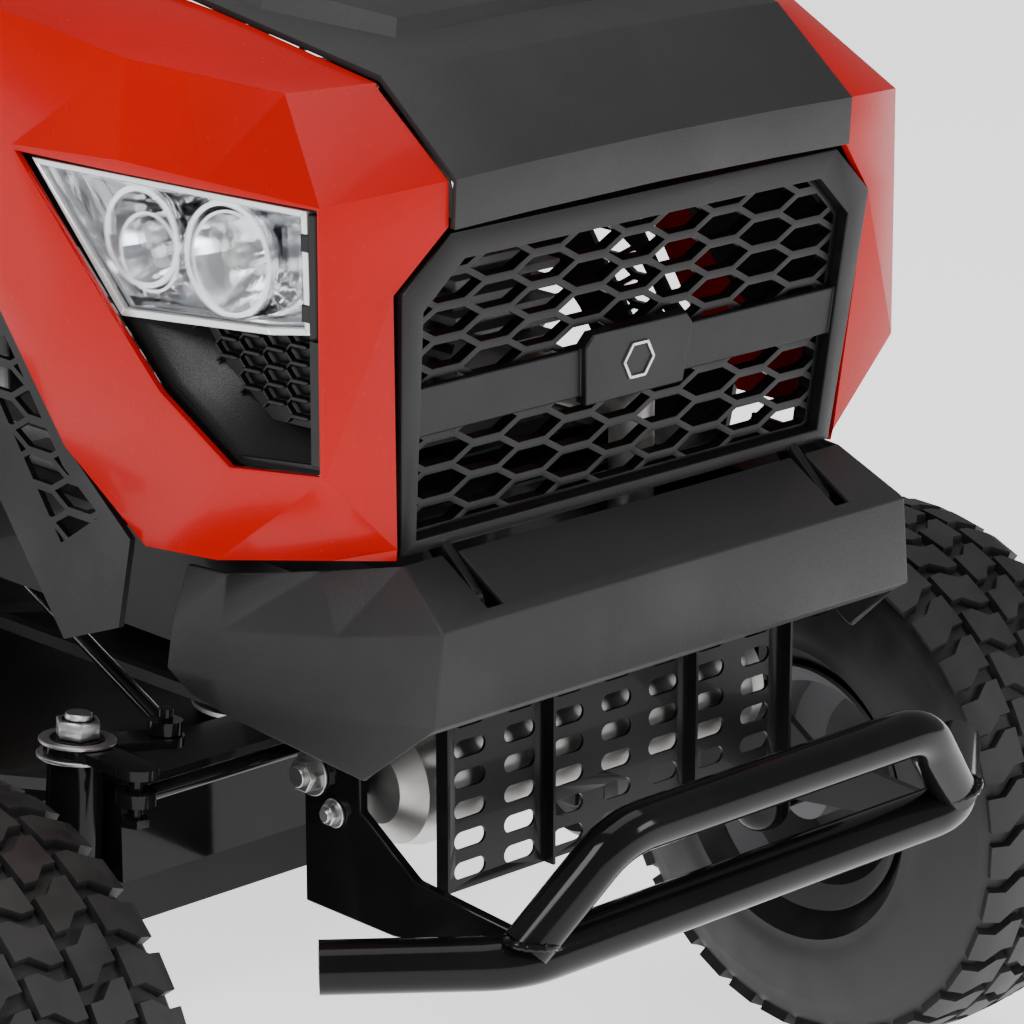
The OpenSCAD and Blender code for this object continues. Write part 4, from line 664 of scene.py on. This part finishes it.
@dataclass
class Headlamp:
    """One lamp: chrome bowls, bulbs, clear cover, clip, lower mesh and gasket."""

    side: Side
    bowls: tuple[tuple[float, float, float], ...] = ((146, 676, 27), (78, 674, 31))

    def build(self) -> None:
        """Build the lamp's inner pieces."""
        self._cover()
        self._bowls()
        self._shell()
        self._band()
        self._mesh()
        self._clip()
        self._gasket()

    def _at(self, u: float, v: float, out: float) -> Vector:
        """Give a point of this lamp's plane."""
        return PLACE.lamp(self.side, u, v, out)

    def _cover(self) -> None:
        """Mould the clear cover and the bright bezel round it."""
        rim = [(229, 711.5), (11, 713), (9, 643), (39, 638), (158, 629)]
        middle = (105, 676)
        inner = [(middle[0] + (u - middle[0]) * 0.955, middle[1] + (v - middle[1]) * 0.9) for u, v in rim]
        rise = self._at(0, 0, 3.6) - self._at(0, 0, 0)
        work = bmesh.new()
        prism(work, [self._at(u, v, -4.4) for u, v in inner], rise, 0.001)
        cover = add_piece(f"lamp_cover_{self.side.name.lower()}", mesh_from("cover", work), "hood", "lens_clear", CLEAR)
        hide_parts("headlight_lenses")
        work = bmesh.new()
        for k in range(5):
            j = (k + 1) % 5
            prism(work, [self._at(*rim[k], -5.2), self._at(*rim[j], -5.2), self._at(*inner[j], -5.2), self._at(*inner[k], -5.2)], rise * 1.25, 0.0004)
        add_piece(f"lamp_bezel_{self.side.name.lower()}", mesh_from("bezel", work), "hood", "lens_clear", FROST)

    def _band(self) -> None:
        """Dish a smooth black band round the lower recess's far edge."""
        outer = [(168.5, 640), (122.5, 592), (68, 557.4), (1.6, 563.4)]
        inner = [(122, 640), (97, 606), (62, 580), (14, 580)]
        work = bmesh.new()
        rows = []
        for t, out in ((0, -3.4), (0.12, -4), (0.3, -7), (0.6, -14), (1, -25)):
            rows.append([work.verts.new(self._at(a[0] + (b[0] - a[0]) * t, a[1] + (b[1] - a[1]) * t, out)) for a, b in zip(outer, inner)])
        for first, second in zip(rows, rows[1:]):
            for a in range(3):
                work.faces.new((first[a], first[a + 1], second[a + 1], second[a]))
        flat = [self._at(u, v, -25) for u, v in ((122, 640), (97, 606), (62, 580), (14, 580), (4, 640))]
        work.faces.new([work.verts.new(p) for p in flat])
        bmesh.ops.remove_doubles(work, verts=work.verts[:], dist=1e-6)
        bmesh.ops.recalc_face_normals(work, faces=work.faces[:])
        bmesh.ops.solidify(work, geom=work.faces[:], thickness=0.0012)
        add_piece(f"lamp_band_{self.side.name.lower()}", mesh_from("band", work, 30, False), "hood", "black_plastic", GRILLE)

    def _bowls(self) -> None:
        """Turn each bowl, its rings and its bulb."""
        axis = (self._at(0, 0, 1) - self._at(0, 0, 0)).normalized()
        for number, (u, v, radius) in enumerate(self.bowls):
            work = bmesh.new()
            section = [(0, -33), (radius * 0.45, -31), (radius * 0.8, -22), (radius * 0.97, -9), (radius, -7.5), (radius + 2.2, -7.5),
                       (radius + 3, -9), (radius + 3, -12)]
            start = [work.verts.new(self._at(u + r, v, o)) for r, o in section]
            edges = [work.edges.new(p) for p in zip(start, start[1:])]
            bmesh.ops.spin(work, geom=start + edges, cent=self._at(u, v, 0), axis=axis, angle=2 * math.pi, steps=48, use_merge=True)
            bmesh.ops.remove_doubles(work, verts=work.verts[:], dist=1e-6)
            bmesh.ops.recalc_face_normals(work, faces=work.faces[:])
            bmesh.ops.reverse_faces(work, faces=work.faces[:])
            bmesh.ops.solidify(work, geom=work.faces[:], thickness=0.0006)
            add_piece(f"lamp_bowl_{self.side.name.lower()}_{number}", mesh_from("bowl", work, 30, False), "hood", "reflector_chrome", CHROME)
            bulb = bmesh.new()
            section = [(0, -10), (5, -11), (8, -14.5), (8.6, -19), (7, -24), (6, -30), (0, -30)]
            start = [bulb.verts.new(self._at(u + r, v, o)) for r, o in section]
            edges = [bulb.edges.new(p) for p in zip(start, start[1:])]
            bmesh.ops.spin(bulb, geom=start + edges, cent=self._at(u, v, 0), axis=axis, angle=2 * math.pi, steps=32, use_merge=True)
            add_piece(f"lamp_bulb_{self.side.name.lower()}_{number}", mesh_from("bulb", bulb, 30), "hood", "reflector_chrome", ZINC)

    def _shell(self) -> None:
        """Fold the bright shell behind the cover, with steps round its rim."""
        work = bmesh.new()
        rim = [(222, 707), (14, 709), (12, 647), (40, 642), (154, 634)]
        rings = []
        for shrink, out in ((1.0, -5.5), (0.985, -6), (0.975, -9), (0.93, -10), (0.915, -16), (0.86, -17), (0.84, -21), (0.6, -24)):
            middle = (95, 674)
            rings.append([work.verts.new(self._at(middle[0] + (u - middle[0]) * shrink, middle[1] + (v - middle[1]) * shrink, out)) for u, v in rim])
        for first, second in zip(rings, rings[1:]):
            for a in range(5):
                work.faces.new((first[a], first[(a + 1) % 5], second[(a + 1) % 5], second[a]))
        bmesh.ops.recalc_face_normals(work, faces=work.faces[:])
        bmesh.ops.solidify(work, geom=work.faces[:], thickness=0.0008)
        add_piece(f"lamp_shell_{self.side.name.lower()}", mesh_from("shell", work, 15, False), "hood", "reflector_chrome", CHROME)

    def _mesh(self) -> None:
        """Fill the lower recess with staggered hexagon bars and short struts."""
        work = bmesh.new()
        rise = self._at(0, 0, 5) - self._at(0, 0, 0)
        for column in range(0, 10):
            for row in range(0, 7):
                u = 16 + column * 18.2
                v = 572 + row * 10.4 + (5.2 if column % 2 else 0)
                if v > 634 or v < 584 + max(0.0, (u - 56) * 0.85) or u > 108:
                    continue
                bar = [(-5.5, -1.2), (5.5, -1.2), (7.5, 0), (5.5, 1.2), (-5.5, 1.2), (-7.5, 0)]
                prism(work, [self._at(u + a, v + b, -22) for a, b in bar], rise, 0.0004)
                for up in (-1, 1):
                    strut = [(6.6, 0.4 * up), (7.6, -0.4 * up), (12.2, 4.6 * up), (11.2, 5.4 * up)]
                    prism(work, [self._at(u + a, v + b, -23) for a, b in strut], rise * 0.8, 0.0002)
        add_piece(f"lamp_mesh_{self.side.name.lower()}", mesh_from("mesh", work, 30), "hood", "black_plastic", GRILLE)

    def _clip(self) -> None:
        """Clip the cover's front edge with a black strip."""
        work = bmesh.new()
        rise = self._at(0, 0, 4.5) - self._at(0, 0, 0)
        strip = [(3.5, 712), (9.5, 712), (9.5, 640), (3.5, 642)]
        prism(work, [self._at(u, v, -4.5) for u, v in strip], rise, 0.0008)
        prism(work, [self._at(u, v, -6) for u, v in ((2.6, 640), (11, 640), (11, 567), (2.6, 567))], rise, 0.0008)
        for low in (650, 690):
            catch = [(8.5, low), (15, low), (15, low + 10), (8.5, low + 10)]
            prism(work, [self._at(u, v, -2.5) for u, v in catch], rise * 0.6, 0.0005)
        add_piece(f"lamp_clip_{self.side.name.lower()}", mesh_from("clip", work, 30), "hood", "black_plastic", GRILLE)


    def _gasket(self) -> None:
        """Close the seam between the lamp box and the hood's skin with a black lip behind it."""
        rim = [(67.8, 557.8), (120, 592.2), (234, 714.3)]
        middle = (95, 655)
        seat, lip = [[(middle[0] + (u - middle[0]) * spread, middle[1] + (v - middle[1]) * spread) for u, v in rim]
                     for spread in (0.96, 1.12)]
        rise = self._at(0, 0, 1.5) - self._at(0, 0, 0)
        work = bmesh.new()
        for near, far, lip_far, lip_near in zip(seat, seat[1:], lip[1:], lip):
            prism(work, [self._at(u, v, -6.2) for u, v in (near, far, lip_far, lip_near)], rise)
        add_piece(f"lamp_gasket_{self.side.name.lower()}", mesh_from("gasket", work, 30), "hood", "black_plastic", GRILLE)


@dataclass
class BrushGuard:
    """The bent tube guard with its hoop, plates and welds."""

    tube_radius: float = 15.8
    hoop_radius: float = 14.8
    bend: float = 62.0

    def build(self) -> None:
        """Build the guard in place of its node."""
        at = PLACE.at
        low = rounded([at(-269.5, 51.6, 290), at(-182, -21, 290), at(182, -21, 290), at(269.5, 51.6, 290)], self.bend * MM, 10)
        hoop = rounded([at(-181, -25, 300), at(-128, -44, 360), at(128, -44, 360), at(181, -25, 300)], 0.045, 10)
        meshes = [tube("low", low, self.tube_radius * MM, 0.003, 12), tube("hoop", hoop, self.hoop_radius * MM, 0, 12)]
        meshes += [self._weld(side) for side in Side]
        meshes += [self._plate(side) for side in Side]
        piece = add_piece("guard_tubes", merge("guard_tubes", meshes), "chassis", "black_steel", GLOSS_BLACK)
        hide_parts("brush_guard")

    def _weld(self, side: Side) -> bpy.types.Mesh:
        """Lay a rippled weld bead round a hoop's foot."""
        path = []
        for step in range(49):
            turn = step / 48 * 2 * math.pi
            wave = 0.5 * math.sin(step * 2.6)
            path.append(PLACE.at(side.value * (179 + (15.4 + wave) * math.cos(turn)), -27.5 + 15 * math.sin(turn) * 0.9, 304 + 3 * math.cos(turn) + wave))
        return tube("weld", path, 0.0026, 0, 3)

    def _plate(self, side: Side) -> bpy.types.Mesh:
        """Cut the side plate that ties the guard to the frame."""
        work = bmesh.new()
        outline = [(-10, 300), (-10, 280), (100, 266), (178, 266), (178, 409), (128, 409), (128, 336), (80, 306)]
        x = side.value * 165
        prism(work, [PLACE.at(x, y, z) for y, z in outline], Vector((side.value * 0.006, 0, 0)), 0.001)
        return mesh_from("plate", work)


@dataclass
class SeatPads:
    """The foam pads, blown up as cloth and sewn."""

    reach: dict[str, float] = field(default_factory=lambda: {"seat_cushion": 12.0, "seat_back": 11.0})

    def build(self) -> None:
        """Build both pads in place of their plain solids."""
        for node, cap in self.reach.items():
            piece = self._blow(node, cap)
            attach(piece, "seat")
            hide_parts(node)
            SHOP.dress(piece, VINYL)
            log.info("%s: %d faces", piece.name, len(piece.data.polygons))

    def _blow(self, node: str, cap: float) -> bpy.types.Object:
        """Remesh a solid, swell it as cloth, cap its travel and sew its channels.

        Args:
            node: the CAD node of the pad.
            cap: how far a point may move, in mm.

        Returns:
            The pad.
        """
        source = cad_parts[node]
        mesh = source.data.copy()
        piece = bpy.data.objects.new("pad_" + node, mesh)
        bpy.context.scene.collection.objects.link(piece)
        low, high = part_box(node)
        middle = (low + high) / 2
        for vert in mesh.vertices:
            vert.co = middle + (vert.co - middle) * 0.965
        remesh = piece.modifiers.new("remesh", "REMESH")
        remesh.mode, remesh.voxel_size = "VOXEL", 0.007
        self._bake(piece)
        start = [v.co.copy() for v in piece.data.vertices]
        cloth = piece.modifiers.new("cloth", "CLOTH")
        cloth.settings.use_pressure, cloth.settings.uniform_pressure_force = True, 4.0
        cloth.settings.effector_weights.gravity = 0
        cloth.settings.tension_stiffness = cloth.settings.compression_stiffness = 20
        for step in range(1, 15):
            bpy.context.scene.frame_set(step)
        self._bake(piece)
        bpy.context.scene.frame_set(1)
        for vert, home in zip(piece.data.vertices, start):
            move = vert.co - home
            if move.length > cap * MM:
                move.length = cap * MM
            vert.co = home + move
            vert.co.x = min(max(vert.co.x, low.x - 0.004), high.x + 0.004)
            vert.co.z = max(vert.co.z, low.z)
        self._sew(piece, node, low, high)
        smooth = piece.modifiers.new("smooth", "SUBSURF")
        smooth.levels = smooth.render_levels = 1
        shade(piece.data, 60)
        return piece

    @staticmethod
    def _bake(piece: bpy.types.Object) -> None:
        """Apply the piece's modifiers to its mesh."""
        bpy.context.view_layer.update()
        made = bpy.data.meshes.new_from_object(piece.evaluated_get(bpy.context.evaluated_depsgraph_get()))
        piece.modifiers.clear()
        piece.data = made

    @staticmethod
    def _sew(piece: bpy.types.Object, node: str, low: Vector, high: Vector) -> None:
        """Press the sewn channels into the pad's face."""
        middle = (low + high) / 2
        for vert in piece.data.vertices:
            if node == "seat_cushion":
                top = max(0.0, min(1.0, (vert.co.z - middle.z) / (high.z - middle.z)))
                along = vert.co.y
                lines = [low.y + (high.y - low.y) * t for t in (0.3, 0.52, 0.74)]
                pull = Vector((0, 0, -1))
            else:
                top = 1.0 if vert.co.y < middle.y + (vert.co.z - middle.z) * 0.25 else 0.0
                along = vert.co.z
                lines = [low.z + (high.z - low.z) * t for t in (0.28, 0.5, 0.72)]
                pull = Vector((0, 1, 0))
            near = min(abs(along - line) for line in lines)
            inside = abs(vert.co.x - middle.x) < (high.x - low.x) * 0.36
            if inside:
                vert.co += pull * (0.006 * top * math.exp(-(near / 0.009) ** 2))
            edge = abs(abs(vert.co.x - middle.x) - (high.x - low.x) * 0.37)
            vert.co += pull * (0.006 * top * math.exp(-(edge / 0.008) ** 2))


@dataclass
class Bodywork:
    """The large panels with rounded edges."""

    panels: tuple = (
        ("hood_shell", "hood", "body_red", RED, 4.0, 7, 3),
        ("hood_panel", "hood", "black_plastic", TRIM, 2.2, 9, 2),
        ("front_bumper", "chassis", "black_plastic", TRIM, 4.0, 8, 3),
        ("side_panels", "chassis", "black_plastic", GRILLE, 1.2, 30, 1),
        ("fender_body", "chassis", "body_red", RED, 3.0, 12, 3),
        ("deck_shell", "deck", "black_steel", CHASSIS_BLACK, 1.5, 40, 2),
        ("dashboard", "chassis", "black_plastic", TRIM, 3.0, 20, 3),
        ("heat_shield", "chassis", "black_steel", CHASSIS_BLACK, 0.5, 40, 1),
        ("foot_platforms", "chassis", "black_steel", CHASSIS_BLACK, 1.2, 20, 2),
        ("deflector", "chute_guard", "black_plastic", TRIM, 1.2, 40, 2),
        ("seat_pan", "seat", "black_plastic", TRIM, 2.0, 40, 2),
        ("steering_wheel", "handwheel", "black_plastic", WHEEL_PLASTIC, 1.5, 50, 2),
    )

    def build(self) -> None:
        """Round every panel."""
        for node, body, slot, finish, width, angle, segments in self.panels:
            soften(node, body, slot, finish, width, angle, segments)


@dataclass
class Fasteners:
    """Hex bolts with washers where the guard's side plates show them."""

    def build(self) -> None:
        """Build the visible bolts."""
        for side in Side:
            meshes = [self._bolt(side.value * 171.6, y, z, size, side.value) for y, z, size in
                      ((160, 396, 13), (174, 384, 13), (170, 350, 19), (150, 330, 12))]
            add_piece(f"plate_bolts_{side.name.lower()}", merge("bolts", meshes), "chassis", "bare_steel", ZINC)

    @staticmethod
    def _bolt(x: float, y: float, z: float, size: float, out: int) -> bpy.types.Mesh:
        """Make one bolt head with a washer, its axis along X."""
        work = bmesh.new()
        for radius, depth, base, sides in ((size * 0.75, 1.6, 0, 32), (size * 0.56, size * 0.42, 1.6, 6), (size * 0.34, size * 0.16, 1.6 + size * 0.42, 24)):
            ring = [PLACE.at(x + out * base, y + radius * math.cos(2 * math.pi * k / sides), z + radius * math.sin(2 * math.pi * k / sides)) for k in range(sides)]
            prism(work, ring, Vector((out * depth * MM, 0, 0)), 0.0005)
        return mesh_from("bolt", work)


@dataclass
class KingpinTrim:
    """Plated washers and nuts on the steering pins."""

    spot: tuple[float, float, float] = (284, 250, 370)
    lean: float = 5.0

    def build(self) -> None:
        """Build both pins' trim."""
        for side in Side:
            meshes = [self._ring(side, 24, 10.5, -2.7, 2.2, 48), self._ring(side, 23, 16.2, 6.2, 2.2, 48),
                      self._ring(side, 13.8, 0, 9.3, 10.6, 6), self._ring(side, 8, 0, 19.9, 4, 32)]
            body = "knuckle_l" if side is Side.LEFT else "knuckle_r"
            add_piece(f"pin_trim_{side.name.lower()}", merge("trim", meshes), body, "bare_steel", ZINC)

    def _ring(self, side: Side, outer: float, inner: float, low: float, rise: float, sides: int) -> bpy.types.Mesh:
        """Make one washer or nut about the leaning pin."""
        work = bmesh.new()
        turn = math.radians(self.lean) * -side.value
        axis = Vector((math.sin(turn), 0, math.cos(turn)))
        across = Vector((math.cos(turn), 0, -math.sin(turn)))
        base = PLACE.at(side.value * self.spot[0], self.spot[1], self.spot[2]) + axis * low * MM
        loops = []
        for radius, up in ((inner, 0), (outer, 0), (outer, rise), (inner, rise)):
            loops.append([work.verts.new(base + axis * up * MM + (across * math.cos(2 * math.pi * k / sides)
                          + Vector((0, 1, 0)) * math.sin(2 * math.pi * k / sides)) * radius * MM) for k in range(sides)])
        pairs = list(zip(loops, loops[1:])) + ([(loops[3], loops[0])] if inner else [])
        for first, second in pairs:
            for k in range(sides):
                j = (k + 1) % sides
                work.faces.new((first[k], first[j], second[j], second[k]))
        bmesh.ops.remove_doubles(work, verts=work.verts[:], dist=1e-7)
        bmesh.ops.recalc_face_normals(work, faces=work.faces[:])
        rim = [e for e in work.edges if len(e.link_faces) == 2 and e.calc_face_angle(0) > 1.0]
        bmesh.ops.bevel(work, geom=rim, offset=0.0005, offset_type="OFFSET", segments=1, profile=0.5, affect="EDGES",
                        clamp_overlap=True, material=-1)
        return mesh_from("ring", work, 30, False)


@dataclass
class Studio:
    """White floor, soft light and the camera."""

    lens: float = 160.3

    def build(self) -> None:
        """Set the stage."""
        self._floor()
        self._lights()
        self._camera()

    def _floor(self) -> None:
        """Lay the floor."""
        work = bmesh.new()
        bmesh.ops.create_grid(work, x_segments=1, y_segments=1, size=14)
        floor = bpy.data.objects.new("studio_floor", mesh_from("studio_floor", work, 30, False))
        bpy.context.scene.collection.objects.link(floor)
        SHOP.dress(floor, Floor())

    def _lights(self) -> None:
        """Hang the soft boxes and light the room."""
        world = bpy.data.worlds.new("studio")
        bpy.context.scene.world = world
        world.use_nodes = True
        world.node_tree.nodes["Background"].inputs[0].default_value = (1, 1, 1, 1)
        world.node_tree.nodes["Background"].inputs[1].default_value = 0.3
        for name, spot, aim, size, power in (
            ("key", (-2.6, -1.4, 3.0), (0, -0.7, 0.5), 1.4, 60),
            ("front", (1.4, -3.6, 1.8), (0, -0.7, 0.4), 1.0, 30),
            ("top", (0.2, -0.4, 3.6), (0, -0.4, 0.5), 2.6, 50),
        ):
            lamp = bpy.data.lights.new(name, "AREA")
            lamp.size, lamp.energy = size, power
            holder = bpy.data.objects.new(name, lamp)
            holder.location = spot
            holder.rotation_euler = (Vector(aim) - Vector(spot)).to_track_quat("-Z", "Y").to_euler()
            bpy.context.scene.collection.objects.link(holder)

    def _camera(self) -> None:
        """Stand the camera in front of the right lamp."""
        eye = bpy.data.cameras.new("camera")
        eye.lens, eye.sensor_width, eye.clip_end = self.lens, 36, 100
        holder = bpy.data.objects.new("camera", eye)
        bpy.context.scene.collection.objects.link(holder)
        forward, right = Vector((0.6532, 0.6973, -0.2949)).normalized(), Vector((0.7298, -0.6836, 0)).normalized()
        up = right.cross(forward)
        holder.matrix_world = Matrix.Translation(PLACE.at(-1815.5, -1758.0, 1292.3)) @ Matrix((right, up, -forward)).transposed().to_4x4()
        bpy.context.scene.camera = holder


PLAIN: dict[str, object] = {
    "frame": CHASSIS_BLACK, "frame_rails": CHASSIS_BLACK, "muffler": MUFFLER, "chassis_bolts": ZINC, "engine_block": CAST, "blower_housing": TRIM,
    "battery": TRIM, "fuel_tank": TANK, "fuel_cap": TRIM, "transaxle": CAST, "drive_belt": BELT,
    "headlight_reflectors": CHROME, "front_axle": GLOSS_BLACK, "knuckle_left": GLOSS_BLACK, "knuckle_right": GLOSS_BLACK,
    "tie_rod": GLOSS_BLACK, "drag_link": GLOSS_BLACK, "steering_sector": CAST, "steering_shaft": ZINC, "front_rim_left": RIM,
    "front_rim_right": RIM, "rear_rim_left": RIM, "rear_rim_right": RIM, "crank_pulley": ZINC, "transaxle_pulley": ZINC,
    "deck_belt": BELT, "spindle_left": ZINC, "spindle_right": ZINC, "blade_left": CHASSIS_BLACK, "blade_right": CHASSIS_BLACK,
    "gauge_wheel_left": WHEEL_PLASTIC, "gauge_wheel_right": WHEEL_PLASTIC, "lift_shaft": CHASSIS_BLACK,
    "brake_pedal": CHASSIS_BLACK, "drive_pedal": CHASSIS_BLACK, "throttle_lever": TRIM, "ignition_key": ZINC, "pto_knob": YELLOW,
}


def main() -> None:
    """Build the mower's finished pieces in order and dress the rest."""
    logging.basicConfig(level=logging.INFO, format="%(message)s")
    Studio().build()
    Bodywork().build()
    Grille().build()
    for side in Side:
        Headlamp(side).build()
    BrushGuard().build()
    for end, columns, count in (("front", 4, 34), ("rear", 5, 38)):
        for hand, letter in (("left", "l"), ("right", "r")):
            TurfTyre(f"{end}_tyre_{hand}", f"wheel_{end[0]}{letter}", columns, count).build()
    Fasteners().build()
    KingpinTrim().build()
    SeatPads().build()
    for node, finish in PLAIN.items():
        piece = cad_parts[node]
        SHOP.dress(piece, finish)
        log.info("%s dressed as %s", node, finish.name)


if __name__ == "__main__":
    main()
